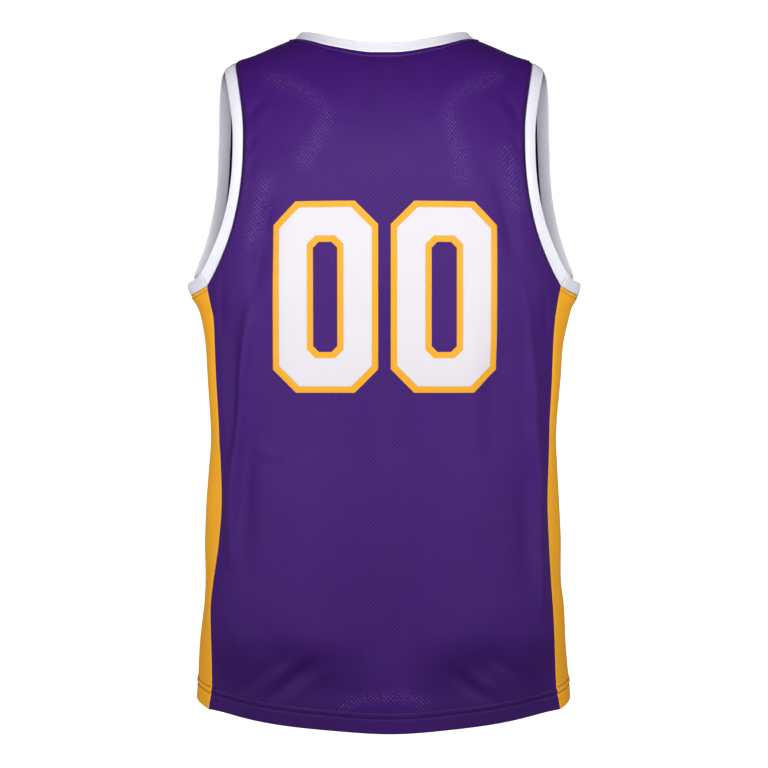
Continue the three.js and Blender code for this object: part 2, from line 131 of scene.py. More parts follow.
# What differs between the back and the front: the armhole seam by the cloth's turn from the shoulder line,
# with the band's lean, and the neck seam from the centre out
BACK = {
    "away": -1, "depth": "back", "roll": 175, "seam_top": -258, "seam_share": 0.92, "hem_dip": 21,
    "turn": [0, 20, 39, 55, 65, 75, 84, 92, 98, 104, 110.4],
    "armhole": [161.3, 159.4, 154.2, 149, 147.8, 148.5, 152, 158, 165, 175, 188],
    "lean": [-8, -8, -8, -8, -8, -7, -5, 0, 8, 16, 22],
    "neck_across": [0, 17, 34, 50, 65, 78, 89.5, 98.5, 103],
    "neck_turn": [36.9, 36.4, 34.5, 31.3, 26.9, 21, 14.2, 7.2, 0],
}
FRONT = {
    "away": 1, "depth": "front", "roll": 150, "seam_top": -250, "seam_share": 0.965, "hem_dip": 12,
    "turn": [0, 14, 26, 38, 50, 62, 84, 99, 108, 114, 119.3],
    "armhole": [161.3, 165.8, 168.6, 171, 172.6, 174.4, 179, 185.4, 191.4, 196.6, 200.9],
    "lean": [-8, -3, 4, 9, 12, 13, 12, 19, 28, 33, 38],
    "neck_across": [0, 17, 34, 50, 64.5, 77, 88, 96.5, 101.5, 103],
    "neck_turn": [77, 76, 72.4, 66, 57, 46, 34.5, 22.5, 11, 0],
}
STRAP_COLUMNS = 5
UNDERARM_LEAN = -8
NECK_LEAN = {"shoulder": 33, "back": 10, "front": 4}
NECK_LEAN_SPREAD = 4

# Folds, each a soft ridge (or trough, where rise is negative) along a line between two places, bowed sideways
# by bow. Edge says how much steeper it is on its outer side.
FOLDS_BACK = [
    {"start": (-126, -235), "end": (-161, -560), "bow": 8, "width": 9, "rise": 3.0, "edge": 0.5},
    {"start": (-146, -250), "end": (-172, -520), "bow": 0, "width": 10, "rise": -2.0, "edge": 0.0},
    {"start": (150, -270), "end": (171, -580), "bow": -4, "width": 8, "rise": 3.0, "edge": -0.5},
    {"start": (124, -300), "end": (132, -570), "bow": 0, "width": 20, "rise": -3.0, "edge": 0.0},
    {"start": (10, -230), "end": (4, -560), "bow": 0, "width": 22, "rise": -2.5, "edge": 0.0},
    {"start": (-108, -140), "end": (-138, -300), "bow": 0, "width": 12, "rise": -2.5, "edge": 0.0},
    {"start": (106, -120), "end": (142, -250), "bow": 0, "width": 12, "rise": -2.0, "edge": 0.0},
    {"start": (-150, -600), "end": (-60, -700), "bow": 0, "width": 26, "rise": -4.0, "edge": 0.0},
    {"start": (150, -600), "end": (60, -700), "bow": 0, "width": 26, "rise": -4.0, "edge": 0.0},
]
FOLDS_FRONT = [
    {"start": (-135, -240), "end": (-158, -560), "bow": 6, "width": 14, "rise": 3.0, "edge": 0.0},
    {"start": (138, -250), "end": (150, -600), "bow": -6, "width": 14, "rise": 3.0, "edge": 0.0},
    {"start": (-60, -300), "end": (-80, -660), "bow": 0, "width": 24, "rise": -3.0, "edge": 0.0},
    {"start": (66, -340), "end": (90, -680), "bow": 0, "width": 24, "rise": -3.0, "edge": 0.0},
]
FOLD_EDGE_POWER = 14
FOLD_TOP_FADE = 0.25

# Small creases of the back: from x, z to x, z, then bow, width, rise and edge
CREASES_BACK = (
    (-138, -268, -150, -440, 2, 5.5, 3.2, 0.3), (-147, -385, -161, -560, 3, 5, 4.2, 0.3),
    (-161, -290, -160, -440, 0, 8, -3.0, 0.0), (-141, -404, -148, -580, 2, 11, -2.3, 0.0),
    (-174, -238, -178, -335, 1, 3.5, 1.3, 0.0),
    (-169, -245, -172, -330, 1, 4.0, -0.9, 0.0),
    (153, -322, 156, -450, -1, 5.5, 3.0, -0.3), (157, -402, 164, -540, -1, 4.4, 4.0, -0.3),
    (163, -500, 169, -612, 1, 5.5, 3.0, 0.0), (147, -426, 151, -596, -2, 13, -2.4, 0.0),
    (146, -252, 155, -356, -1, 3.4, 1.3, 0.0), (122, -165, 136, -234, -2, 7, -1.5, 0.0),
    (114, -320, 113, -455, 2, 11, -1.6, 0.0), (173, -256, 179, -325, -1, 3.5, 1.1, 0.0),
    (168, -262, 173, -325, -1, 4.0, -0.8, 0.0),
    (3, -262, 8, -445, 3, 9, -1.8, 0.0), (-30, -300, -22, -430, -4, 16, 0.8, 0.0),
    (-117, -168, -126, -212, 2, 6, -1.9, 0.0), (-126, -205, -137, -280, 2, 7, -1.9, 0.0),
    (-127, -62, -143, -91, 2, 4.5, -1.2, 0.3), (-118, -70, -134, -99, 2, 5, 0.7, 0.0),
    (-133, -98, -142, -124, 1, 4.0, -1.0, 0.2), (-134, -120, -143, -150, 0, 5, -0.7, 0.0),
    (125, -55, 144, -103, -3, 5, -1.2, -0.3), (130, -100, 146, -130, -2, 4.5, -1.0, -0.3),
    (114, -60, 132, -104, -3, 6, 0.7, 0.0), (112, -150, 128, -180, -1, 5, -0.8, 0.0),
    (-136, -426, -102, -437, 2, 6, 0.4, 0.4), (-132, -438, -106, -446, 2, 5, -0.3, 0.0),
    (-138, -688, -72, -636, -3, 6.5, 1.7, 0.4), (-126, -694, -58, -640, -3, 7, -1.9, 0.0),
    (-98, -690, -44, -650, -2, 5.5, 1.0, 0.0), (-158, -690, -120, -650, -2, 6, -1.2, 0.0),
    (72, -640, 130, -688, 3, 6.5, 1.5, 0.4), (62, -650, 120, -694, 3, 7, -1.7, 0.0),
    (104, -636, 158, -672, 2, 6, -1.2, 0.0),
    (-173, -610, -155, -657, 2, 6, -0.8, 0.0), (152, -642, 174, -664, -2, 5, -0.8, 0.0),
    (-120, -640, -60, -668, 4, 14, -1.4, 0.0), (60, -664, 140, -640, 4, 14, -1.4, 0.0),
    (-20, -640, 12, -700, 0, 24, 1.2, 0.0), (-96, -480, -118, -610, 5, 18, -1.0, 0.0),
    (88, -500, 112, -620, -5, 18, -1.0, 0.0), (-60, -120, -84, -40, 4, 20, 0.9, 0.0),
    (62, -118, 86, -42, -4, 20, 0.9, 0.0),
)
CREASES_FRONT = (
    (-150, -300, -162, -420, 3, 6, 1.3, 0.3), (146, -320, 156, -450, -3, 6, 1.4, -0.3),
    (-120, -230, -150, -262, 2, 6, -1.0, 0.0), (118, -226, 150, -262, -2, 6, -1.0, 0.0),
    (-110, -420, -90, -540, 4, 12, -1.2, 0.0), (96, -400, 120, -520, -4, 12, -1.3, 0.0),
    (-40, -250, -20, -420, 5, 16, 1.0, 0.0), (50, -280, 30, -460, -5, 16, 0.9, 0.0),
    (-140, -600, -96, -680, 4, 9, -1.1, 0.0), (132, -610, 88, -684, -4, 9, -1.1, 0.0),
    (-30, -620, 40, -690, 3, 22, 1.2, 0.0), (-150, -150, -128, -196, 3, 6, -0.9, 0.0),
    (152, -140, 130, -190, -3, 6, -0.9, 0.0),
)
CREASE_DEPTH = 1.7
HEM_TURN = (13, 6)  # how far the cloth hangs in above the hem, on the back and the front
# Creases of the sides: from degrees of turn about the body and height to the same, then width in degrees and
# rise
CREASES_SIDE = (
    (66, -290, 74, -420, 2.0, 0.8), (84, -300, 92, -470, 3.5, -1.0), (100, -320, 96, -560, 3.5, 0.9),
    (76, -520, 70, -640, 3.0, -0.8), (90, -560, 84, -680, 4.0, 0.7), (108, -460, 112, -600, 3.0, -0.8),
)

# Painted highlight where light catches the rims of the holes, as lines over the shoulder blades and above the
# hem
LIT_HOLES = (
    ((-121, -40), (-105, -45), (-90, -52), (-77, -60), (-65, -71), (-58, -83), (-64, -99), (-72, -116),
     (-82, -132)),
    ((-124, -154), (-127, -176), (-135, -194), (-139, -214)),
    ((119, -37), (104, -44), (87, -54), (74, -64), (66, -80), (70, -100), (77, -126), (80, -150)),
    ((127, -120), (131, -149), (137, -174)),
    ((-42, -692), (-14, -684), (16, -682), (44, -692)),
)
LIT_WIDTH = 11

# Colours, how strongly the mesh takes on each of them, and how bright the surroundings are
PURPLE = (0.0465, 0.0080, 0.1425)
# DARK_HOLES is painted shade of the inside, seen through the holes; LIT_RIMS is a painted highlight on their
# rims
DARK_HOLES = (0.0075, 0.0023, 0.0264)
LIT_RIMS = (0.1657, 0.113, 0.2711)
GOLD = (0.97, 0.45, 0.024)
DEEP_GOLD = (0.80, 0.31, 0.008)
WHITE = (0.80, 0.79, 0.86)
DEEP_WHITE = (0.64, 0.63, 0.71)
GOLD_FILM = (0.74, 0.335, 0.012)
WHITE_FILM = (0.625, 0.600, 0.635)
LABEL_WHITE = (0.72, 0.72, 0.74)
DEEP_LABEL_WHITE = (0.6, 0.6, 0.62)
# The neck's purple thread; its lightness over the cloth's purple is a painted highlight where it catches
# light
HIGHLIT_PURPLE_THREAD = (0.10, 0.04, 0.23)
DARK_THREAD = (0.020, 0.006, 0.030)
FLOOR_GLOW = 0.15
SKY = 0.015
# How strongly the holes take on their painted shade and their painted highlight
DARK_HOLE_SHARE = 0.65
LIT_HOLE_SHARE = 0.8
# How far the painted shade beside the seams and above the hem darkens the mesh
SEAM_AND_SHADE_DARKENING = 0.62
MESH_SHINE = 0.13

# The lights: name, place and aim in metres, width in metres, spread in degrees, and power in watts
LIGHTS = (
    ("upper_light", (0, -1.25, 0.3), (0, 0, -0.1), 0.6, 110, 2.75),
    ("high_light", (0, -2.4, 0.5), (0, 0, -0.15), 0.8, 60, 0.84),
    ("near_left_light", (-0.65, -1.0, -0.2), (-0.03, 0, -0.22), 0.5, 110, 1.92),
    ("near_right_light", (0.65, -1.0, -0.2), (0.03, 0, -0.22), 0.5, 110, 1.91),
    ("side_left_light", (-1.3, -0.55, -0.3), (0, 0, -0.4), 0.8, 120, 1.45),
    ("side_right_light", (1.3, -0.55, -0.3), (0, 0, -0.4), 0.8, 120, 1.15),
    ("front_light", (0, 2.0, 0.1), (0, 0, -0.3), 1.2, 90, 12),
)


def smooth_curve(at, value, t):
    """A cubic between each pair of points. With s the share of the way from point i to i + 1, the value is
    value[i] + rise s + s (1 - s) ((slope[i] span - rise) (1 - s) + (rise - slope[i + 1] span) s), where a
    point's slope comes from its two neighbours. Beyond the ends it runs on straight."""
    at, value, t = (np.asarray(a, float) for a in (at, value, t))
    slope = np.empty(len(at))
    slope[1:-1] = (value[2:] - value[:-2]) / (at[2:] - at[:-2])
    slope[0] = (value[1] - value[0]) / (at[1] - at[0])
    slope[-1] = (value[-1] - value[-2]) / (at[-1] - at[-2])
    i = np.clip(np.searchsorted(at, t) - 1, 0, len(at) - 2)
    span = at[i + 1] - at[i]
    rise = value[i + 1] - value[i]
    inside = np.clip(t, at[i], at[i + 1])
    s = (inside - at[i]) / span
    bend = s * (1 - s) * ((slope[i] * span - rise) * (1 - s) + (rise - slope[i + 1] * span) * s)
    end_slope = np.where(t < inside, slope[i], slope[i + 1])
    return value[i] + rise * s + bend + (t - inside) * end_slope


def section(name, level):
    """The named column of the sections at a height."""
    return smooth_curve(SECTIONS["level"], SECTIONS[name], level)


def half_width(sign, level):
    """Half the body's width at a height, on the left where sign is negative."""
    return np.where(sign < 0, section("left", level), section("right", level))


def shoulder_line(x):
    """Height of the shoulder line over a place."""
    return smooth_curve(SHOULDER_LINE["across"], SHOULDER_LINE["height"], np.abs(x))


def depth_share(width_share, square):
    """Share of the depth left at a share of the half width: (1 - w^n)^(1/n)."""
    return np.maximum(0, 1 - np.abs(width_share) ** square) ** (1 / square)


def mix(a, b, share):
    return a + (b - a) * share


def lower_form(angle, rise):
    """The body below the armholes. Angle 0 is centre back, 90 the right side line, -90 the left and 180 the
    front. The section is a superellipse: x = half width times sin^(2/n), y = depth times cos^(2/n), and near
    the back seam x is shifted to where the seam stands. Rise is 0 at the hem and 1 at the underarm."""
    angle, rise = np.broadcast_arrays(np.asarray(angle, float), np.asarray(rise, float))
    turned = np.radians(np.abs(angle))
    sign = np.where(angle < 0, -1.0, 1.0)
    roundness = 2 / LOWER_SQUARENESS
    across = np.abs(np.sin(turned)) ** roundness
    back_share = np.sign(np.cos(turned)) * np.abs(np.cos(turned)) ** roundness
    is_back = back_share > 0
    dip, top, share = (np.where(is_back, BACK[k], FRONT[k]) for k in ("hem_dip", "seam_top", "seam_share"))
    hem = HEM_SIDE - dip * np.abs(back_share) ** HEM_CURVE
    past_seam = np.clip((across - share) / (1 - share), 0, 1)
    z = mix(hem, mix(top, UNDERARM, past_seam), rise)
    half = half_width(sign, z)
    seam = np.where(sign < 0, section("left_seam", z), section("right_seam", z))
    seam_depth = depth_share(BACK_SEAM_SHARE, LOWER_SQUARENESS)
    near_seam = np.exp(-(((back_share - seam_depth) / SEAM_BULGE_SPREAD) ** 2))
    waver = (seam - BACK_SEAM_SHARE * half) * near_seam
    depth = np.where(is_back, section("back", z), section("front", z))
    return np.stack([sign * (half * across + waver), -back_share * depth, z], -1)


def edge_angle(panel):
    """Angle from the panel's centre to its side seam."""
    return np.degrees(np.arcsin(panel["seam_share"] ** (LOWER_SQUARENESS / 2)))


def panel_angle(panel, u):
    """Angle round the body for u from -1 at the left seam to 1 at the right seam."""
    sign = np.where(u < 0, -1.0, 1.0)
    from_centre = np.abs(u) * edge_angle(panel)
    return sign * (from_centre if panel is BACK else 180 - from_centre)


def full_turn(panel, x):
    """Degrees that the cloth turns between the shoulder line and the top of the side seams."""
    return np.degrees(np.arccos(1 - (shoulder_line(x) - panel["seam_top"]) / panel["roll"]))


def seam_top_x(panel, sign):
    """How far out the top of the side seam is."""
    return np.abs(lower_form(panel_angle(panel, np.asarray(sign, float)), 1.0)[..., 0])


def neck_end(panel):
    """The u at which the neck seam ends and the strap begins."""
    columns = len(panel["neck_across"]) - 1
    return columns / (columns + STRAP_COLUMNS)


def upper_form(panel, u, v):
    """A panel above the underarm, v from 1 there to 2 at the top. The cloth rolls forward to the shoulder
    line: with t its turn from that line, z = line - roll (1 - cos t) and y = depth sin t. The turn fades
    from the full one at the underarm to the neck seam's at the top, and x keeps its share of the armhole
    seam's. The small step in y from the form below fades out as 3 f^2 - 2 f^3."""
    sign = np.where(u < 0, -1.0, 1.0)
    side = np.abs(u)
    end = neck_end(panel)
    below = lower_form(panel_angle(panel, u), 1.0)
    below_x = np.abs(below[..., 0])
    steps = np.arange(len(panel["neck_across"]))
    along_neck = np.clip(side / end, 0, 1) * steps[-1]
    along_strap = (side - end) / (1 - end)
    on_neck = side <= end
    neck_x = smooth_curve(steps, panel["neck_across"], along_neck)
    top_x = np.where(on_neck, neck_x, mix(NECK_HALF, STRAP_END, along_strap))
    top_turn = np.where(on_neck, smooth_curve(steps, panel["neck_turn"], along_neck), 0)
    seam_x = seam_top_x(panel, sign)
    edge = smooth_curve(panel["turn"], panel["armhole"], full_turn(panel, seam_x) * (2 - v))
    x = edge * mix(below_x / seam_x, top_x / STRAP_END, v - 1)
    turn = mix(top_turn, full_turn(panel, below_x), 2 - v)
    z = shoulder_line(x) - panel["roll"] * (1 - np.cos(np.radians(turn)))
    rolled = np.sin(np.radians(np.minimum(turn, 90)))
    share = depth_share(x / half_width(sign, z), section("square", z))
    y = panel["away"] * section(panel["depth"], z) * share * rolled
    seam_level = below[..., 2]
    start_share = depth_share(below_x / half_width(sign, seam_level), section("square", seam_level))
    step = below[..., 1] - panel["away"] * section(panel["depth"], seam_level) * start_share
    fade = np.clip(1 - (v - 1) / UNDERARM_STEP_FADE, 0, 1)
    return np.stack([sign * x, y + step * fade**2 * (3 - 2 * fade), z], -1)


def panel_form(panel, u, v):
    """A panel's outer surface without its folds. Round the underarm's level the lower and the upper form are
    blended: each point is the mean of five taken a little below to a little above, weighted 1 4 6 4 1, and
    their spacing fades away from that level as a bell and towards the side seams."""
    u, v = (a.copy() for a in np.broadcast_arrays(np.asarray(u, float), np.asarray(v, float)))

    def plain(a, b):
        low = lower_form(panel_angle(panel, a), np.minimum(b, 1))
        high = upper_form(panel, a, np.maximum(b, 1))
        return np.where((b <= 1)[..., None], low, high)

    points = plain(u, v)
    near = np.abs(v - 1) < 0.3
    if near.any():
        a, b = u[near], v[near]
        spacing = UNDERARM_BLEND * np.exp(-(((b - 1) / 0.12) ** 2)) * (1 - np.minimum(np.abs(a), 1) ** 8)
        points[near] = sum(w * plain(a, b + k * spacing) for k, w in zip(range(-2, 3), (1, 4, 6, 4, 1))) / 16
    return points


def unit(vectors):
    """Vectors brought to length 1."""
    return vectors / np.maximum(np.linalg.norm(vectors, axis=-1, keepdims=True), 1e-9)


def facing(surface, u, v, step=0.002):
    """Which way a surface faces: the cross product of its slopes along u and along v, each measured over a
    small step kept inside the surface."""
    along_u = surface(u + step, v) - surface(u - step, v)
    along_v = surface(u, v + step) - surface(u, v - step)
    return unit(np.cross(along_u, along_v))


def ridge(x, z, start, end, bow, width, rise, edge):
    """How far one fold lifts the cloth: a bell across its line, exp(-(d / width)^2), that fades as a half
    sine along it. Bow bends the line sideways by a half sine, and edge adds d / width times the bell, which
    makes one flank steeper."""
    run = np.subtract(end, start)
    length = np.hypot(*run)
    dx, dz = x - start[0], z - start[1]
    along = np.clip((dx * run[0] + dz * run[1]) / length**2, 0, 1)
    d = ((dx * run[1] - dz * run[0]) / length - bow * np.sin(np.pi * along)) / width
    return rise * np.sin(np.pi * along) * np.exp(-(d**2)) * (1 + edge * d)


def ease(value, start, end):
    """0 before start and 1 after end, with s^2 (3 - 2 s) between."""
    s = np.clip((value - start) / (end - start), 0, 1)
    return s * s * (3 - 2 * s)


def bell(value, middle, width):
    return np.exp(-(((value - middle) / width) ** 2))


def between(value, start, end):
    """1 between two places and 0 outside them, eased over a millimetre to both sides of each."""
    return ease(value, start - 1, start + 1) - ease(value, end - 1, end + 1)


def edge_rates(panel):
    """Millimetres for each unit of u at the side edges, by v, and for each unit of v at the top and at the
    hem, by u. They are measured once over small steps of the form."""
    if "rates" not in panel:
        v, u = np.linspace(0, 2, 81), np.linspace(-1, 1, 161)
        span = lambda a, b: np.linalg.norm(a - b, axis=-1)
        ones = np.ones_like(v)
        sides = [span(panel_form(panel, s * ones, v), panel_form(panel, 0.97 * s * ones, v)) / 0.03
                 for s in (-1, 1)]
        top = span(panel_form(panel, u, np.full(161, 2.0)), panel_form(panel, u, np.full(161, 1.98))) / 0.02
        hem = span(panel_form(panel, u, np.zeros(161)), panel_form(panel, u, np.full(161, 0.02))) / 0.02
        panel["rates"] = {"v": v, "u": u, "sides": sides, "top": top, "hem": hem}
    return panel["rates"]


def edge_distances(panel, u, v):
    """Rough distances in millimetres from the side edge, the top edge and the hem."""
    rates = edge_rates(panel)
    left, right = (np.interp(v, rates["v"], rate) for rate in rates["sides"])
    side = np.where(u < 0, left, right)
    return ((1 - np.abs(u)) * side, (2 - v) * np.interp(u, rates["u"], rates["top"]),
            v * np.interp(u, rates["u"], rates["hem"]))


def beside_middle(x):
    """Where the cloth hangs in under the seat, on both sides of the middle: 1 less a bell."""
    return 1 - bell(x, 8, 52)


def hem_relief(above, along):
    """The hem is a double layer, so it stands proud by a little up to its upper stitches. Each row of
    stitches pulls a groove, and puckers the cloth beside it in short uneven waves."""
    proud = 0.45 * (1 - ease(above, HEM_STITCHES[1], HEM_STITCHES[1] + 3))
    grooves = 0.75 * bell(above, HEM_STITCHES[0], 1.3) + 0.5 * bell(above, HEM_STITCHES[1] + 0.3, 1.2)
    waves = np.sin(along / 1.7 + 2.1 * np.sin(along / 9.7))
    swell = bell(above, sum(HEM_STITCHES) / 2, 1.9) * (0.45 + 0.15 * waves + 0.2 * np.sin(along / 13 + 1))
    return proud - grooves + swell + 0.08 * waves * bell(above, 10, 8)


def panel_relief(panel, u, v, points):
    """Everything finer than the form: folds and creases, a slow unevenness of the cloth, the seam allowance
    under the neck's top stitching, the dip along the armhole seam, the hem, and the label's outline."""
    x, z = points[..., 0], points[..., 2]
    side, top, hem = edge_distances(panel, u, v)
    inside = (1 - np.minimum(np.abs(u), 1) ** FOLD_EDGE_POWER) * np.clip((2 - v) / FOLD_TOP_FADE, 0, 1)
    is_back = panel is BACK
    folds = sum(ridge(x, z, f["start"], f["end"], f["bow"], f["width"], f["rise"], f["edge"])
                for f in (FOLDS_BACK if is_back else FOLDS_FRONT))
    creases = CREASE_DEPTH * sum(ridge(x, z, c[:2], c[2:4], *c[4:])
                                 for c in (CREASES_BACK if is_back else CREASES_FRONT))
    slow = 0.5 * np.sin(x / 27 + z / 130 + 0.4) * np.sin(z / 83 + 1.1) + 0.35 * np.sin(x / 41 - z / 61)
    turned_in = -HEM_TURN[0 if is_back else 1] * beside_middle(x) * ease(-z, 622, 688)
    near_neck = 1 - ease(np.abs(u), neck_end(panel) - 0.03, neck_end(panel) + 0.04)
    allowance = 0.5 * (1 - ease(top, NECK_STITCH - 0.2, NECK_STITCH + 0.9))
    allowance += 0.35 * bell(top, NECK_STITCH - 0.9, 1.0) - 0.5 * bell(top, NECK_STITCH + 1.6, 1.1)
    above = ease(v, 0.99, 1.04)
    dip = -0.9 * (1 - ease(side, 0, 4.5)) + 0.25 * bell(side, 7, 2.5)
    lift = (folds + creases + slow + turned_in) * inside + hem_relief(hem, x)
    lift = lift + allowance * near_neck + dip * above
    if is_back:
        wide, high = between(x, *LABEL_SIDES), between(z, *LABEL_HEIGHTS)
        lift = lift + 0.35 * wide * high
    return lift


def outward_of(panel, u, v):
    """The way a panel faces, out of the garment."""
    return -panel["away"] * facing(lambda a, b: panel_form(panel, a, b), u, v)


def panel_surface(panel, u, v, above=0.0):
    """A panel's outer surface with its relief, raised by above."""
    u, v = np.broadcast_arrays(np.asarray(u, float), np.asarray(v, float))
    points = panel_form(panel, u, v)
    lift = panel_relief(panel, u, v, points) + above
    return points + outward_of(panel, u, v) * lift[..., None]


def side_surface(angle, rise, above=0.0):
    """The side cloth's outer surface with its own creases and hem, raised by above."""
    angle, rise = np.broadcast_arrays(np.asarray(angle, float), np.asarray(rise, float))
    points = lower_form(angle, rise)
    outward = facing(lower_form, angle, np.minimum(rise, 0.997))
    start, end = edge_angle(BACK), 180 - edge_angle(FRONT)
    turned, share = np.abs(angle), (np.abs(angle) - start) / (end - start)
    inside = 1 - np.abs(np.clip(2 * share - 1, -1, 1)) ** 6
    z = points[..., 2]
    hand = np.where(angle < 0, -1.0, 1.0)
    creases = sum(ridge(turned + 2 * hand, z / 10, (c[0], c[1] / 10), (c[2], c[3] / 10), 0, c[4], c[5], 0)
                  for c in CREASES_SIDE)
    above_hem = z - lower_form(angle, 0 * rise)[..., 2]
    groove = -0.5 * bell((1 - rise) * (UNDERARM - HEM_SIDE), ARMHOLE_STITCH, 1.1)
    lift = creases * inside * ease(1 - rise, 0, 0.06) + groove + hem_relief(above_hem, turned * 3) + above
    return points + outward * lift[..., None]


def tucked(values, length, first=True, last=True):
    """Adds the rounded, turned-in edges to a row of parameter values that spans a length in millimetres.
    Returns the values, and how far each is dropped below the surface: r (1 - cos a) round the edge, with r
    the edge's radius, then straight down."""
    turn = np.radians([0, 30, 60, 90])
    reach = EDGE_ROUND * (1 - np.sin(turn)) / length * (values[-1] - values[0])
    drop = EDGE_ROUND * (1 - np.cos(turn))
    middle = values[(values > values[0] + reach[0]) & (values < values[-1] - reach[0])]
    low = np.concatenate([[values[0]], values[0] + reach[::-1]]) if first else [values[0]]
    high = np.concatenate([values[-1] - reach, [values[-1]]]) if last else [values[-1]]
    low_drop = np.concatenate([[EDGE_TUCK], drop[::-1]]) if first else [0]
    high_drop = np.concatenate([drop, [EDGE_TUCK]]) if last else [0]
    return np.concatenate([low, middle, high]), np.concatenate([low_drop, np.zeros(len(middle)), high_drop])


def grid_faces(rows, columns, round_columns=False):
    """Corner numbers of the squares of a grid, row by row."""
    squares = columns if round_columns else columns - 1
    r, c = np.meshgrid(np.arange(rows - 1), np.arange(squares), indexing="ij")
    after = (c + 1) % columns
    corners = [r * columns + c, r * columns + after, (r + 1) * columns + after, (r + 1) * columns + c]
    return np.stack(corners, -1).reshape(-1, 4)


def new_piece(name, points, faces, material, cloth_at=None):
    """A smooth mesh from points in millimetres and squares. cloth_at is where each point lies on the flat
    cloth, kept as the attribute "cloth"."""
    mesh = bpy.data.meshes.new(name)
    points = points.reshape(-1, 3) * MM
    mesh.from_pydata(points, [], faces.tolist())
    mesh.polygons.foreach_set("use_smooth", np.ones(len(mesh.polygons), bool))
    if cloth_at is not None:
        attribute = mesh.attributes.new("cloth", "FLOAT_VECTOR", "POINT")
        attribute.data.foreach_set("vector", cloth_at.reshape(-1).astype(np.float32))
    mesh.materials.append(material)
    mesh.update()
    piece = bpy.data.objects.new(name, mesh)
    bpy.context.scene.collection.objects.link(piece)
    return piece


def thicken(piece, thickness=CLOTH):
    """Gives a sheet its wall, inwards from the face that shows."""
    wall = piece.modifiers.new("wall", "SOLIDIFY")
    wall.thickness = thickness * MM
    wall.offset = -1
    wall.use_even_offset = False
    return piece


def cloth_places(points, start_row, middle):
    """Where each point of a grid lies on the flat cloth: along its row from the middle column, and up its
    column from the start row, both as lengths of the cloth itself."""
    along = np.linalg.norm(np.diff(points, axis=1), axis=-1)
    s = np.concatenate([np.zeros((points.shape[0], 1)), np.cumsum(along, 1)], 1)
    s = s - s[:, middle : middle + 1]
    up = np.linalg.norm(np.diff(points, axis=0), axis=-1)
    t = np.concatenate([np.zeros((1, points.shape[1])), np.cumsum(up, 0)], 0)
    t = t - t[start_row] + points[start_row, :, 2]
    return np.stack([s, t, np.zeros_like(s)], -1)


def with_outward(points, outward):
    """The squares of a grid, turned so that they face outward."""
    faces = grid_faces(*points.shape[:2])
    a, b = points[1:, :-1] - points[:-1, :-1], points[:-1, 1:] - points[:-1, :-1]
    return faces if np.sum(np.cross(b, a) * outward[:-1, :-1]) > 0 else faces[:, ::-1]


def with_hem(surface, outward, across, up, drops, hem_rate, round_at_top):
    """Grid of a cloth with its hem. The rows run down the inside of the hem, round the fold, a half circle of
    radius r, and up the outside: points are surface - N (2 r), then surface + D r sin a - N r (1 - cos a)
    below the lowest row, then surface - N drop."""
    r = HEM_FOLD_RADIUS
    inner = np.linspace(HEM_HEIGHT, 2 * r, HEM_INSIDE_ROWS) / hem_rate
    turn = np.radians(np.linspace(150, 30, HEM_FOLD_ROWS))
    rows = np.concatenate([inner, np.full(HEM_FOLD_ROWS, r / hem_rate), up])
    a, b = np.meshgrid(across, rows)
    points, normal = surface(a, b), outward(a, b)
    down = np.zeros(len(rows))
    sink = np.concatenate([np.full(HEM_INSIDE_ROWS, 2 * r), r * (1 - np.cos(turn)), round_at_top])[:, None]
    down[HEM_INSIDE_ROWS:HEM_ROWS] = r * np.sin(turn)
    edge = drops[None, :] * np.concatenate([np.full(HEM_ROWS, 0.2), np.ones(len(up))])[:, None]
    edge = np.where(np.arange(len(rows))[:, None] < HEM_ROWS, edge + sink, np.maximum(edge, sink))
    points = points - normal * edge[..., None]
    points[..., 2] -= down[:, None]
    return points, normal


def hole_shade_and_highlight(panel, x, z):
    """How the holes are painted, from -1, painted shade of the inside seen through them, to 1, a painted
    highlight
    on their rims: shade down the middle, hardly any over the shoulder blades, and the highlight along the
    lines where light catches the rims. The distance to each line is the least one to its stretches."""
    if panel is FRONT:
        return -0.3 - 0.5 * bell(x, 0, 70)
    dark = 0.3 + 0.7 * bell(x, 0, 62) - 0.25 * bell(np.abs(x), 84, 34) * bell(z, -110, 70)
    lit = np.zeros_like(x)
    for line in LIT_HOLES:
        for (x0, z0), (x1, z1) in zip(line, line[1:]):
            run_x, run_z = x1 - x0, z1 - z0
            share = np.clip(((x - x0) * run_x + (z - z0) * run_z) / (run_x**2 + run_z**2), 0, 1)
            away = np.hypot(x - x0 - share * run_x, z - z0 - share * run_z)
            lit = np.maximum(lit, bell(away, 0, LIT_WIDTH))
    return lit - dark * (1 - lit)


def allowance_and_painted_shade(panel, u, v):
    """How much darker the mesh is painted, 0 to 1: painted shade beside the armhole seam, most of all low
    down, where the seam allowance lies under it too; painted seam shadow and groove shade beside the neck
    seam; and, less strong, painted shade above the hem on both sides of the middle, where the cloth hangs in."""
    side, top, _ = edge_distances(panel, u, v)
    low = 1 - ease(v, 1.35, 1.8)
    # Painted shade beside the armhole seam, where the seam allowance also lies under the cloth
    armhole = (1 - ease(side, 2.3, 3.4)) * ease(v, 1.0, 1.01) * (0.25 + 0.75 * low)
    on_neck = 1 - ease(np.abs(u), neck_end(panel) - 0.02, neck_end(panel) + 0.02)
    # Painted seam shadow under the neck band and painted shade of the groove below the top stitching
    neck = 0.45 * (1 - ease(top, 1.6, 3.0)) + 0.4 * bell(top, NECK_STITCH + 1.9, 1.0)
    points = panel_form(panel, u, v)
    # Painted shade above the hem, on both sides of the middle where the cloth hangs in
    hung_in_shade = 0.34 * beside_middle(points[..., 0]) * ease(-points[..., 2], 600, 660)
    return np.maximum(np.maximum(armhole, neck * on_neck), hung_in_shade)


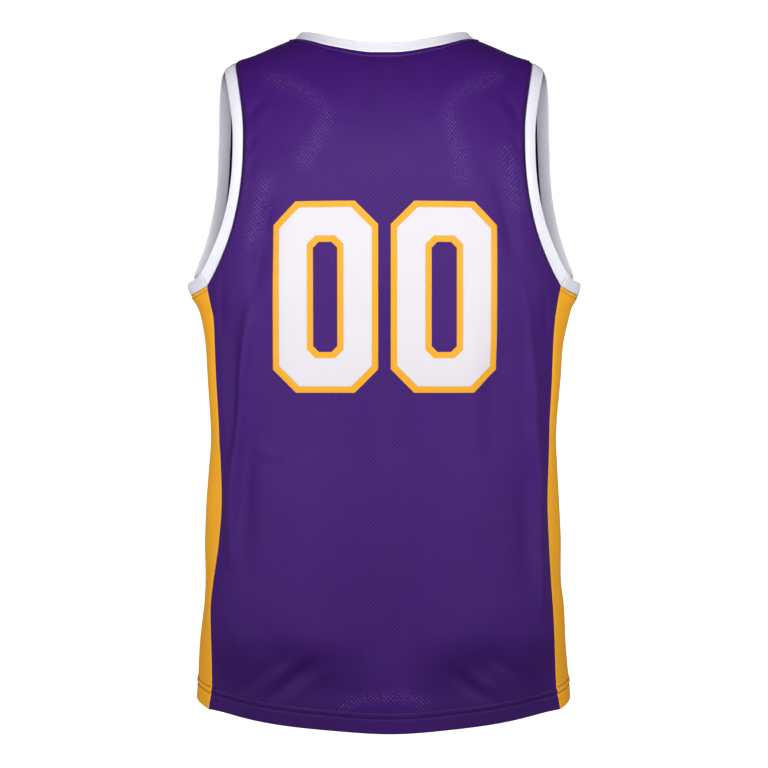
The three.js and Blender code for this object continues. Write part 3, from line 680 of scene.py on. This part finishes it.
def make_panel(name, panel, material, columns, lower_rows, upper_rows):
    """Front or back cloth: a grid over u and v, with the edges that meet a seam rounded and tucked in."""
    hem_rate = np.interp(0, edge_rates(panel)["u"], edge_rates(panel)["hem"])
    top_rate = np.interp(0, edge_rates(panel)["u"], edge_rates(panel)["top"])
    u, u_drop = tucked(np.concatenate([np.linspace(-1, -0.965, 9), np.linspace(-0.955, 0.955, columns),
                                       np.linspace(0.965, 1, 9)]), PANEL_WIDTH)
    hem = HEM_LEVELS / hem_rate
    v = np.concatenate([hem, np.linspace(hem[-1] + 2.5 / hem_rate, 1, lower_rows, endpoint=False),
                        np.linspace(1, 2 - 11 / top_rate, upper_rows),
                        2 - np.arange(10, -0.1, -1) / top_rate])
    v, v_drop = tucked(v, PANEL_LENGTH, first=False)
    points, normal = with_hem(lambda a, b: panel_surface(panel, a, b), lambda a, b: outward_of(panel, a, b),
                              u, v, u_drop, hem_rate, v_drop)
    start_row = HEM_ROWS + int(np.argmin(np.abs(v - 1)))
    places = cloth_places(points, start_row, len(u) // 2)
    # The third part of the cloth attribute: the holes' painted shade, below 0, and painted highlight, above 0
    places[..., 2] = hole_shade_and_highlight(panel, points[..., 0], points[..., 2])
    piece = new_piece(name, points, with_outward(points, normal), material, places)
    rows = np.concatenate([np.full(HEM_ROWS, v[0]), v])
    # How much darker the mesh is painted: painted shade beside the seams and above the hem, over the seam
    # allowances
    seam_and_shade = allowance_and_painted_shade(panel, *np.meshgrid(u, rows))
    attribute = piece.data.attributes.new("seam_and_shade", "FLOAT", "POINT")
    attribute.data.foreach_set("value", seam_and_shade.reshape(-1).astype(np.float32))
    return thicken(piece)


def make_side(name, hand, material, columns=24, rows=150):
    """Side cloth between the back seam and the front seam, a grid over the angle round the body and the
    rise."""
    start, end = edge_angle(BACK), 180 - edge_angle(FRONT)
    hem_rate = UNDERARM - HEM_SIDE
    angle, a_drop = tucked(np.linspace(start, end, columns), SIDE_WIDTH)
    hem = HEM_LEVELS / hem_rate
    rise = np.concatenate([hem, np.linspace(hem[-1] + 2.5 / hem_rate, 1, rows)])
    rise, r_drop = tucked(rise, hem_rate, first=False)
    points, normal = with_hem(side_surface, lambda a, b: facing(lower_form, a, np.minimum(b, 0.997)),
                              hand * angle, rise, a_drop, hem_rate, r_drop)
    places = cloth_places(points, HEM_ROWS + len(rise) - 1, len(angle) // 2)
    return thicken(new_piece(name, points, with_outward(points, normal), material, places))


def band_profile():
    """The folded band across: a is the distance from the seam and h the height above the cloth's surface. The
    outer layer starts in the seam and crowns slightly, turns half a circle at the free edge, and the inner
    layer runs back."""
    half = BAND_THICKNESS / 2
    across = np.linspace(0.9, BAND_WIDTH - half, 10)
    outer = np.stack([across, 0.3 * np.sin(np.pi * across / BAND_WIDTH)], -1)
    turn = np.radians(np.linspace(20, 180, 8))
    fold = np.stack([BAND_WIDTH - half + half * np.sin(turn), half * np.cos(turn) - half], -1)
    inner = np.stack([across[-2::-1], np.full(len(across) - 1, -BAND_THICKNESS)], -1)
    return np.concatenate([[(0.0, -0.95), (0.25, -0.4)], outer, fold, inner, [(0.2, -BAND_THICKNESS)]])


def smooth_ring(values, spread):
    """A closed row of values blurred with a bell of that many steps."""
    reach = int(3 * spread)
    steps = np.arange(-reach, reach + 1)
    weights = np.exp(-0.5 * (steps / spread) ** 2)
    weights /= weights.sum()
    return sum(w * np.roll(values, k, axis=0) for w, k in zip(weights, steps))


def make_band(name, at, normal, lean, material):
    """A folded band sewn round a closed seam. At each stop the band's way out of the cloth, e, is the seam's
    direction crossed with the facing N. A point at distance a and height h lies at
    seam + e gap + (e cos t + N sin t) a + (N cos t - e sin t) h, and the lean t grows along the band. Where
    the seam turns a corner the free edge is rounded off: the difference from its blurred line is added with
    the square of the share across."""
    tangent = np.roll(at, -1, axis=0) - np.roll(at, 1, axis=0)
    out = unit(np.cross(tangent, normal))
    if np.sum((at.mean(0) - at) * out) < 0:
        out = -out
    out, normal, lean = unit(smooth_ring(out, 3)), unit(smooth_ring(normal, 3)), smooth_ring(lean, 3)
    profile = band_profile()
    a, h = profile[:, :1], profile[:, 1:]
    t = np.radians(lean[None, :] * np.clip(a / BAND_WIDTH, 0, 1))[..., None]
    along = out * np.cos(t) + normal * np.sin(t)
    up = normal * np.cos(t) - out * np.sin(t)
    points = at + out * SEAM_GAP + along * a[..., None] + up * h[..., None]
    full = np.radians(lean)[:, None]
    free = at + (out * np.cos(full) + normal * np.sin(full)) * BAND_WIDTH
    heading = unit(tangent)
    turning = 1 - np.sum(np.roll(heading, -6, axis=0) * np.roll(heading, 6, axis=0), -1)
    corner = np.clip(smooth_ring(np.clip((turning - 0.12) / 0.25, 0, 1), 5) * 1.6, 0, 1)[:, None]
    points += ((smooth_ring(free, 8) - free) * corner) * (np.clip(a / BAND_WIDTH, 0, 1) ** 2)[..., None]
    points = np.concatenate([points, points[:, :1]], 1)
    length = np.concatenate([[0], np.cumsum(np.linalg.norm(np.diff(points[0], axis=0), axis=-1))])
    places = np.stack(np.broadcast_arrays(length[None, :], a, 0.0), -1)
    outward = np.concatenate([up, up[:, :1]], 1)
    middle = slice(3, 10)
    faces = with_outward(points[middle], outward[middle])
    flipped = faces[0, 0] != 0
    faces = grid_faces(*points.shape[:2])
    faces = faces[:, ::-1] if flipped else faces
    return thicken(new_piece(name, points, faces, material, places), BAND_CLOTH)


def ring_of_stops(parts):
    """Joins stretches of a seam into one closed row, and spaces its stops evenly along it."""
    at, normal, lean = (np.concatenate([p[k] for p in parts]) for k in range(3))
    closed = np.concatenate([at, at[:1]])
    length = np.concatenate([[0], np.cumsum(np.linalg.norm(np.diff(closed, axis=0), axis=-1))])
    even = np.linspace(0, length[-1], int(length[-1] / 2.5), endpoint=False)
    both = lambda values: np.concatenate([values, values[:1]])
    spread = lambda values: np.stack([np.interp(even, length, both(values)[:, k]) for k in range(3)], -1)
    return spread(at), unit(spread(normal)), np.interp(even, length, both(lean))


def panel_stops(panel, u, v):
    """Places and facings along a line on a panel."""
    at = panel_surface(panel, u, v)
    normal = facing(lambda a, b: panel_form(panel, a, b), u, v)
    return at, (normal if panel is BACK else -normal)


def neck_stops():
    """The neck seam all round, from the left shoulder across the back and home across the front."""
    parts = []
    for panel, lean in ((BACK, NECK_LEAN["back"]), (FRONT, NECK_LEAN["front"])):
        share = np.linspace(-1, 1, 240, endpoint=False) * -panel["away"]
        at, normal = panel_stops(panel, share * neck_end(panel), np.full(len(share), 2.0))
        parts.append((at, normal, mix(lean, NECK_LEAN["shoulder"], np.abs(share) ** NECK_LEAN_SPREAD)))
    return ring_of_stops(parts)


def armhole_stops(hand):
    """The armhole seam all round, up the back, down the front and home under the arm."""
    parts = []
    for panel, v in ((BACK, np.linspace(1, 2, 200)), (FRONT, np.linspace(2, 1, 200)[1:])):
        at, normal = panel_stops(panel, np.full(len(v), float(hand)), v)
        turn = full_turn(panel, seam_top_x(panel, hand)) * (2 - v)
        parts.append((at, normal, smooth_curve(panel["turn"], panel["lean"], turn)))
    share = np.linspace(1, 0, 80)[1:-1]
    angle = hand * mix(edge_angle(BACK), 180 - edge_angle(FRONT), share)
    at = lower_form(angle, np.ones(len(angle)))
    normal = facing(lower_form, angle, np.full(len(angle), 0.995))
    from_middle = 2 * share - 1
    corner = np.where(from_middle < 0, BACK["lean"][-1], FRONT["lean"][-1])
    parts.append((at, normal, mix(UNDERARM_LEAN, corner, from_middle**2)))
    return ring_of_stops(parts)


def find_on_back(x, z):
    """The u and v at which the back's form passes a place seen from behind, by Newton's method on x and z
    with slopes over small steps."""
    top, hem = BACK["seam_top"], HEM_SIDE - BACK["hem_dip"]
    u = np.clip(x / 195, -0.95, 0.95)
    v = np.where(z < top, (z - hem) / (top - hem), 1 + (z - top) / 270)
    for _ in range(14):
        here = panel_form(BACK, u, v)
        du = (panel_form(BACK, u + 0.002, v) - here) / 0.002
        dv = (panel_form(BACK, u, v + 0.002) - here) / 0.002
        ex, ez = here[..., 0] - x, here[..., 2] - z
        det = du[..., 0] * dv[..., 2] - dv[..., 0] * du[..., 2]
        u = np.clip(u - np.clip((ex * dv[..., 2] - ez * dv[..., 0]) / det, -0.1, 0.1), -0.99, 0.99)
        v = np.clip(v - np.clip((ez * du[..., 0] - ex * du[..., 2]) / det, -0.1, 0.1), 0.01, 1.995)
    return u, v


def nought_outline(sides, inset):
    """A block nought's outline at an inset from its edge: a box with its corners cut off, by less the further
    in. Each of its eight sides has a fixed number of points, from the top's left end round to the right."""
    left, right, top, bottom = sides[0] + inset, sides[1] - inset, NUMBER_TOP - inset, NUMBER_BOTTOM + inset
    cut = mix(*NUMBER_CHAMFERS, inset / NUMBER_STROKE)
    corners = np.array([(left + cut, top), (right - cut, top), (right, top - cut), (right, bottom + cut),
                        (right - cut, bottom), (left + cut, bottom), (left, bottom + cut), (left, top - cut)])
    counts = (22, 10, 50, 10, 22, 10, 50, 10)
    after = np.roll(corners, -1, axis=0)
    return np.concatenate([mix(corners[i], after[i], np.linspace(0, 1, n, endpoint=False)[:, None])
                           for i, n in enumerate(counts)] + [corners[:1]])


def make_film(name, first, last, height, material):
    """Film in the shape of the number, between two insets from its outer edge, at a height above the cloth.
    Its own edges go down to the cloth."""
    insets = np.concatenate([[first, first], np.linspace(first + 0.25, last - 0.25, 14), [last, last]])
    lifts = np.concatenate([[0, height - 0.06], np.full(14, height), [height - 0.06, 0]])
    grids, faces, start = [], [], 0
    for sides in NUMBER_SIDES:
        flat = np.stack([nought_outline(sides, inset) for inset in insets])
        u, v = find_on_back(flat[..., 0], flat[..., 1])
        points = panel_surface(BACK, u, v, lifts[:, None])
        faces.append(with_outward(points, outward_of(BACK, u, v)) + start)
        grids.append(points.reshape(-1, 3))
        start += len(grids[-1])
    return new_piece(name, np.concatenate(grids), np.concatenate(faces), material)


def make_label(name, material):
    """The blank label, a sheet just under the back's inner face."""
    x, z = np.meshgrid(np.linspace(*LABEL_SIDES, 16), np.linspace(*LABEL_HEIGHTS, 12))
    u, v = find_on_back(x, z)
    points = panel_surface(BACK, u, v, -(CLOTH + 0.5))
    return thicken(new_piece(name, points, with_outward(points, -outward_of(BACK, u, v)), material,
                             np.stack([x, z, 0 * x], -1)), 0.25)


def stitches(lines):
    """Stitches along lines on the cloth. Each is a short spindle of thread: five sides round, five rings
    long, its radius 1 - 0.75 c^4 of the thread's, bent as an arc so that its ends go into the cloth. c runs
    from -1 to 1 along it. Returns the points and the squares."""
    c = np.linspace(-1, 1, 5)[:, None]
    turn = np.linspace(0, 2 * np.pi, 5, endpoint=False)[None, :]
    along, radius = 0.5 * STITCH_LENGTH * c, THREAD_RADIUS * (1 - 0.75 * c**4)
    side, high = radius * np.cos(turn), radius * np.sin(turn) + THREAD_RADIUS * (0.9 - 1.5 * c**2)
    grid = grid_faces(5, 5, round_columns=True)
    points, faces, start = [], [], 0
    for line, normal in lines:
        length = np.concatenate([[0], np.cumsum(np.linalg.norm(np.diff(line, axis=0), axis=-1))])
        stops = np.arange(STITCH_PITCH / 2, length[-1], STITCH_PITCH)
        at, ahead, up = (np.stack([np.interp(s, length, values[:, k]) for k in range(3)], -1)
                         for s, values in ((stops, line), (stops + 0.5, line), (stops, normal)))
        up = unit(up)
        direction = unit(ahead - at + 1e-6)
        across = unit(np.cross(up, direction))
        spindle = at[:, None, None] + sum(way[:, None, None] * size[None, :, :, None]
                                          for way, size in ((direction, along), (across, side), (up, high)))
        points.append(spindle.reshape(-1, 3))
        faces.append((grid[None] + start + 25 * np.arange(len(stops))[:, None, None]).reshape(-1, 4))
        start += 25 * len(stops)
    return np.concatenate(points), np.concatenate(faces)


def panel_line(panel, u, v):
    """A line on a panel's surface, and the way it faces there."""
    return panel_surface(panel, u, v), outward_of(panel, u, v)


def hem_lines():
    """The two rows of stitches of the hem, round the whole garment."""
    lines = []
    u = np.linspace(-0.993, 0.993, 260)
    for panel in (BACK, FRONT):
        rate = np.interp(u, edge_rates(panel)["u"], edge_rates(panel)["hem"])
        lines += [panel_line(panel, u, row / rate) for row in HEM_STITCHES]
    share = np.linspace(0.01, 0.99, 60)
    for hand in (-1, 1):
        angle = hand * mix(edge_angle(BACK), 180 - edge_angle(FRONT), share)
        for row in HEM_STITCHES:
            rise = np.full(60, row / (UNDERARM - HEM_SIDE))
            lines.append((side_surface(angle, rise), facing(lower_form, angle, rise)))
    return lines


def neck_lines():
    """The top stitching beside the neck seam, on the back and on the front."""
    lines = []
    for panel in (BACK, FRONT):
        u = np.linspace(-0.985, 0.985, 240) * neck_end(panel)
        lines.append(panel_line(panel, u, 2 - NECK_STITCH / np.interp(u, edge_rates(panel)["u"],
                                                                      edge_rates(panel)["top"])))
    return lines


def armhole_lines():
    """The top stitching beside the armhole seams, on the panels and under the arm."""
    lines = []
    for hand in (-1, 1):
        for panel in (BACK, FRONT):
            v = np.linspace(1.0, 1.985, 200)
            rate = np.interp(v, edge_rates(panel)["v"], edge_rates(panel)["sides"][0 if hand < 0 else 1])
            lines.append(panel_line(panel, hand * (1 - ARMHOLE_STITCH / rate), v))
        angle = hand * mix(edge_angle(BACK), 180 - edge_angle(FRONT), np.linspace(0.01, 0.99, 60))
        rise = np.full(60, 1 - ARMHOLE_STITCH / (UNDERARM - HEM_SIDE))
        lines.append((side_surface(angle, rise), facing(lower_form, angle, rise)))
    return lines


def label_lines():
    """The row of stitches that holds the label, as it shows on the back, and the one along its top."""
    lines = []
    for level, sides in ((LABEL_HEIGHTS[0] + 3, (-16, 4)), (LABEL_HEIGHTS[1] + 1, (-16, 17))):
        x = np.linspace(*sides, 30)
        lines.append(panel_line(BACK, *find_on_back(x, np.full(30, float(level)))))
    return lines


def socket(tree, value, target):
    """Sets an input to a value, or wires it to another node's output."""
    if isinstance(value, bpy.types.NodeSocket):
        tree.links.new(value, target)
    else:
        target.default_value = value


def math(tree, operation, *values, vector=False, clamp=False):
    """A Math or Vector Math node, and its first output."""
    node = tree.nodes.new("ShaderNodeVectorMath" if vector else "ShaderNodeMath")
    node.operation = operation
    if clamp:
        node.use_clamp = True
    for value, target in zip(values, node.inputs):
        if value is not None:
            socket(tree, value, target)
    return node.outputs["Value"] if operation in ("LENGTH", "DOT_PRODUCT") else node.outputs[0]


def mix_colour(tree, share, first, second):
    node = tree.nodes.new("ShaderNodeMix")
    node.data_type = "RGBA"
    for value, index in ((share, 0), (first, 6), (second, 7)):
        socket(tree, value, node.inputs[index])
    return node.outputs[2]


def new_group(name, inputs, outputs):
    tree = bpy.data.node_groups.new(name, "ShaderNodeTree")
    for direction, sockets in (("INPUT", inputs), ("OUTPUT", outputs)):
        for label, kind in sockets.items():
            tree.interface.new_socket(label, in_out=direction, socket_type=f"NodeSocket{kind}")
    return tree, tree.nodes.new("NodeGroupInput").outputs, tree.nodes.new("NodeGroupOutput").inputs


def place_group(tree, group, **values):
    node = tree.nodes.new("ShaderNodeGroup")
    node.node_tree = group
    for label, value in values.items():
        socket(tree, value, node.inputs[label])
    return node.outputs


def dots_group():
    """Dots on two square lattices, the second shifted by half a pitch both ways. A dot is 1 within its radius
    and falls to 0 over its soft edge, by the distance to the nearer lattice's nearest point."""
    tree, given, result = new_group("lattice_dots", {"Place": "Vector", "Pitch": "Float", "Radius": "Float",
                                                     "Soft": "Float"}, {"Dot": "Float"})
    scaled = math(tree, "SCALE", given["Place"], vector=True)
    tree.links.new(math(tree, "DIVIDE", 1.0, given["Pitch"]), scaled.node.inputs["Scale"])
    nearest = []
    for shift in (0.0, 0.5):
        cell = math(tree, "FRACTION", math(tree, "ADD", scaled, (shift, shift, 0), vector=True), vector=True)
        flat = math(tree, "MULTIPLY", math(tree, "SUBTRACT", cell, (0.5, 0.5, 0), vector=True), (1, 1, 0),
                    vector=True)
        nearest.append(math(tree, "LENGTH", flat, vector=True))
    away = math(tree, "MULTIPLY", math(tree, "MINIMUM", *nearest), given["Pitch"])
    fall = math(tree, "DIVIDE", math(tree, "SUBTRACT", away, given["Radius"]), given["Soft"])
    tree.links.new(math(tree, "SUBTRACT", 1.0, fall, clamp=True), result["Dot"])
    return tree


def ribs_group():
    """Knit rows: sin(2 pi s / pitch) across, times the same along at a longer pitch, from 0 to 1, with a slow
    mottle from noise beside it."""
    tree, given, result = new_group("knit_ribs", {"Place": "Vector", "Pitch": "Float", "Stretch": "Float",
                                                  "Mottle": "Float"}, {"Rib": "Float", "Tone": "Float"})
    parts = tree.nodes.new("ShaderNodeSeparateXYZ")
    tree.links.new(given["Place"], parts.inputs[0])
    turn = math(tree, "DIVIDE", 2 * np.pi, given["Pitch"])
    first = math(tree, "SINE", math(tree, "MULTIPLY", parts.outputs[0], turn))
    up = math(tree, "DIVIDE", math(tree, "MULTIPLY", parts.outputs[1], turn), given["Stretch"])
    second = math(tree, "SINE", up)
    both = math(tree, "ADD", math(tree, "MULTIPLY", first, 0.32), math(tree, "MULTIPLY", second, 0.18))
    tree.links.new(math(tree, "ADD", both, 0.5), result["Rib"])
    noise = noise_at(tree, given["Place"], 0.03, 3)
    swing = math(tree, "MULTIPLY", math(tree, "SUBTRACT", noise, 0.5), given["Mottle"])
    tree.links.new(math(tree, "ADD", 1.0, swing), result["Tone"])
    return tree


def noise_at(tree, place, scale, detail=2):
    """Noise at a place, round about a half."""
    noise = tree.nodes.new("ShaderNodeTexNoise")
    noise.inputs["Scale"].default_value = scale
    noise.inputs["Detail"].default_value = detail
    tree.links.new(place, noise.inputs["Vector"])
    return noise.outputs[0]


def object_place(tree):
    """The place in metres in the object's own coordinates."""
    return tree.nodes.new("ShaderNodeTexCoord").outputs["Object"]


def bare_material(name, colour, roughness, specular=0.1):
    """A new material, its tree and its shader, with a plain colour to start from."""
    material = bpy.data.materials.new(name)
    material.use_nodes = True
    shader = material.node_tree.nodes["Principled BSDF"]
    shader.inputs["Base Color"].default_value = (*colour, 1)
    shader.inputs["Roughness"].default_value = roughness
    shader.inputs["Specular IOR Level"].default_value = specular
    return material, material.node_tree, shader


def cloth_place(tree):
    node = tree.nodes.new("ShaderNodeAttribute")
    node.attribute_name = "cloth"
    return node.outputs["Vector"]


def bumped(tree, shader, height, strength, distance):
    bump = tree.nodes.new("ShaderNodeBump")
    bump.inputs["Strength"].default_value = strength
    bump.inputs["Distance"].default_value = distance * MM
    tree.links.new(height, bump.inputs["Height"])
    tree.links.new(bump.outputs[0], shader.inputs["Normal"])


def shaded(tree, tone, colour):
    """A colour times a tone."""
    return math(tree, "MULTIPLY", (*colour,), grey(tree, tone), vector=True)


def grey(tree, value):
    node = tree.nodes.new("ShaderNodeCombineXYZ")
    for target in node.inputs:
        tree.links.new(value, target)
    return node.outputs[0]


def mesh_material(name, colour, dark, lit, dots, ribs):
    """Open mesh: painted holes, darker than the cloth as painted shade of the inside seen through them, and
    lighter as a painted highlight where their rims catch the light, as the third part of the cloth attribute
    says."""
    material, tree, shader = bare_material(name, colour, 0.5, MESH_SHINE)
    place = cloth_place(tree)
    dot = place_group(tree, dots, Place=place, Pitch=MESH_PITCH, Radius=HOLE_RADIUS,
                      Soft=HOLE_SOFT_EDGE)["Dot"]
    knit = place_group(tree, ribs, Place=place, Pitch=1.05, Stretch=1.4, Mottle=0.16)
    parts = tree.nodes.new("ShaderNodeSeparateXYZ")
    tree.links.new(place, parts.inputs[0])
    # The holes' painted shade, below 0, and painted highlight, above 0
    tone = parts.outputs[2]
    chance = noise_at(tree, place, 0.42)
    uneven = math(tree, "MULTIPLY", math(tree, "SUBTRACT", chance, 0.36), 3.6, clamp=True)
    # Painted shade beside the seams and above the hem, darkening the cloth
    seam_and_shade = tree.nodes.new("ShaderNodeAttribute")
    seam_and_shade.attribute_name = "seam_and_shade"
    after_painted_shade = math(tree, "SUBTRACT", 1.0, math(tree, "MULTIPLY", seam_and_shade.outputs["Fac"], SEAM_AND_SHADE_DARKENING))
    base = shaded(tree, math(tree, "MULTIPLY", knit["Tone"], after_painted_shade), colour)
    dark_share = math(tree, "MULTIPLY", tone, -DARK_HOLE_SHARE, clamp=True)
    lit_share = math(tree, "MULTIPLY", tone, LIT_HOLE_SHARE, clamp=True)
    seen_dark = math(tree, "MULTIPLY", dot, dark_share)
    seen_lit = math(tree, "MULTIPLY", math(tree, "MULTIPLY", dot, uneven), lit_share)
    with_dark = mix_colour(tree, seen_dark, base, (*dark, 1))
    tree.links.new(mix_colour(tree, seen_lit, with_dark, (*lit, 1)), shader.inputs["Base Color"])
    relief = math(tree, "SUBTRACT", math(tree, "MULTIPLY", knit["Rib"], 0.25), dot)
    bumped(tree, shader, relief, 0.35, 0.5)
    return material


def knit_material(name, colour, deep, ribs, pitch, stretch, mottle, contrast, roughness=0.65, specular=0.1):
    """Close knit: fine ribs in relief, a slightly deeper colour between them, and a slow mottle."""
    material, tree, shader = bare_material(name, colour, roughness, specular)
    knit = place_group(tree, ribs, Place=cloth_place(tree), Pitch=pitch, Stretch=stretch, Mottle=mottle)
    base = shaded(tree, knit["Tone"], colour)
    share = math(tree, "MULTIPLY", math(tree, "SUBTRACT", 1.0, knit["Rib"]), contrast)
    tree.links.new(mix_colour(tree, share, base, (*deep, 1)), shader.inputs["Base Color"])
    bumped(tree, shader, knit["Rib"], 0.3, 0.3)
    return material


def film_material(name, colour):
    """Smooth film that has taken on a little of the mesh's unevenness under heat: fine bumps, and a slow
    drift of tone."""
    material, tree, shader = bare_material(name, colour, 0.42, 0.2)
    place = object_place(tree)
    tone = math(tree, "ADD", 0.97, math(tree, "MULTIPLY", noise_at(tree, place, 14), 0.06))
    tree.links.new(shaded(tree, tone, colour), shader.inputs["Base Color"])
    bumped(tree, shader, noise_at(tree, place, 420), 0.12, 0.3)
    return material


def thread_material(name, colour):
    """Twisted thread: a fine unevenness of tone along it."""
    material, tree, shader = bare_material(name, colour, 0.5, 0.12)
    tone = math(tree, "ADD", 0.75, math(tree, "MULTIPLY", noise_at(tree, object_place(tree), 900), 0.5))
    tree.links.new(shaded(tree, tone, colour), shader.inputs["Base Color"])
    return material


def make_camera():
    """The photograph's view: level, straight behind the wearer, at mid height."""
    camera = bpy.data.cameras.new("camera")
    camera.sensor_width = SENSOR
    camera.lens = SENSOR * CAMERA_BACK / FRAME_WIDTH
    stand = bpy.data.objects.new("camera", camera)
    stand.location = (0, -CAMERA_BACK * MM, CAMERA_HEIGHT * MM)
    stand.rotation_euler = (np.pi / 2, 0, 0)
    bpy.context.scene.collection.objects.link(stand)
    bpy.context.scene.camera = stand


def make_floor():
    """A pale round studio floor that sweeps up into a wall all round: a profile of a straight run, a quarter
    circle and a straight rise, turned about the upright axis."""
    radius, low, bend, height = 4800, -1450, 1500, 3000
    turn = np.radians(np.linspace(0, 90, 16))
    curve = np.stack([radius - bend + bend * np.sin(turn), low + bend * (1 - np.cos(turn))], -1)
    profile = np.concatenate([[(0.0, low), (1500.0, low)], curve, [(radius, float(height))]])
    around = np.radians(np.linspace(0, 360, 73))
    r, z = profile[:, 0][:, None], profile[:, 1][:, None]
    points = np.stack(np.broadcast_arrays(r * np.cos(around), r * np.sin(around), z), -1)
    material, tree, shader = bare_material("pale_floor", (0.5, 0.5, 0.5), 0.9, 0.0)
    shader.inputs["Emission Color"].default_value = (1, 1, 1, 1)
    seen = tree.nodes.new("ShaderNodeLightPath").outputs["Is Camera Ray"]
    glow = math(tree, "ADD", FLOOR_GLOW, math(tree, "MULTIPLY", seen, 1.0))
    tree.links.new(glow, shader.inputs["Emission Strength"])
    inward = np.stack(np.broadcast_arrays(-np.cos(around), -np.sin(around), 1.0 + 0 * r), -1)
    new_piece("floor", points, with_outward(points, inward), material)


def make_light(name, place, aim, size, spread, power):
    """A square soft light at a place in metres, turned to an aim, held to a cone of spread degrees by a
    grid."""
    light = bpy.data.lights.new(name, "AREA")
    light.size = size
    light.energy = power
    light.spread = np.radians(spread)
    lamp = bpy.data.objects.new(name, light)
    lamp.visible_camera = False
    lamp.location = place
    direction = np.array(aim, float) - np.array(place, float)
    lamp.rotation_euler = (np.arctan2(np.hypot(*direction[:2]), -direction[2]), 0,
                           np.arctan2(direction[1], direction[0]) - np.pi / 2)
    bpy.context.scene.collection.objects.link(lamp)


def make_lights():
    """Soft studio light: near lamps level with the back and over it, weaker ones at the sides, and one on the
    far side for the front. A faint sky fills in."""
    for light in LIGHTS:
        make_light(*light)
    world = bpy.data.worlds.new("surround")
    world.use_nodes = True
    world.node_tree.nodes["Background"].inputs["Color"].default_value = (1, 1, 1, 1)
    world.node_tree.nodes["Background"].inputs["Strength"].default_value = SKY
    bpy.context.scene.world = world
    bpy.context.scene.view_settings.view_transform = "Standard"


make_camera()
dots, ribs = dots_group(), ribs_group()
purple = mesh_material("purple_mesh_cloth", PURPLE, DARK_HOLES, LIT_RIMS, dots, ribs)
gold = knit_material("gold_side_cloth", GOLD, DEEP_GOLD, ribs,
                     pitch=1.4, stretch=1.2, mottle=0.05, contrast=0.25)
white = knit_material("white_band_knit", WHITE, DEEP_WHITE, ribs,
                      pitch=1.3, stretch=2.4, mottle=0.03, contrast=0.3)
gold_film = film_material("gold_film", GOLD_FILM)
white_film = film_material("white_film", WHITE_FILM)
highlit_purple_thread = thread_material("highlit_purple_thread", HIGHLIT_PURPLE_THREAD)
dark_thread = thread_material("dark_thread", DARK_THREAD)
white_label = knit_material("white_label_weave", LABEL_WHITE, DEEP_LABEL_WHITE, ribs,
                            pitch=0.6, stretch=1.0, mottle=0.02, contrast=0.3)

back_cloth = make_panel("back_cloth", BACK, purple, columns=119, lower_rows=138, upper_rows=104)
front_cloth = make_panel("front_cloth", FRONT, purple, columns=97, lower_rows=110, upper_rows=90)
sides = {side: make_side(f"side_cloth_{side}", hand, gold) for side, hand in (("left", -1), ("right", 1))}
neck_knit = make_band("neck_knit", *neck_stops(), white)
armholes = {side: make_band(f"armhole_knit_{side}", *armhole_stops(hand), white)
            for side, hand in (("left", -1), ("right", 1))}

number_edge = make_film("number_gold_film", 0, NUMBER_STROKE, FILM, gold_film)
number_face = make_film("number_white_film", NUMBER_EDGE, NUMBER_STROKE - NUMBER_EDGE, 2 * FILM, white_film)
label = make_label("blank_neck_label", white_label)
hem_thread = new_piece("hem_stitches", *stitches(hem_lines()), dark_thread)
# Neck top stitching in purple thread with a painted highlight
neck_thread = new_piece("neck_stitches", *stitches(neck_lines()), highlit_purple_thread)
armhole_thread = new_piece("armhole_stitches", *stitches(armhole_lines()), dark_thread)
label_thread = new_piece("label_stitches", *stitches(label_lines()), dark_thread)

for piece, node, slot_name in (
    (back_cloth, "back_panel", "purple_mesh"),
    (front_cloth, "front_panel", "purple_mesh"),
    (sides["left"], "side_panel_left", "gold_cloth"),
    (sides["right"], "side_panel_right", "gold_cloth"),
    (neck_knit, "neck_band", "white_band"),
    (armholes["left"], "armhole_band_left", "white_band"),
    (armholes["right"], "armhole_band_right", "white_band"),
):
    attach(piece, "root")
    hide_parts(node)
for piece, slot_name in (
    (number_edge, "gold_cloth"),
    (number_face, "white_band"),
    (label, "white_band"),
    (hem_thread, "purple_mesh"),
    (neck_thread, "purple_mesh"),
    (armhole_thread, "purple_mesh"),
    (label_thread, "purple_mesh"),
):
    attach(piece, "root")

make_floor()
make_lights()
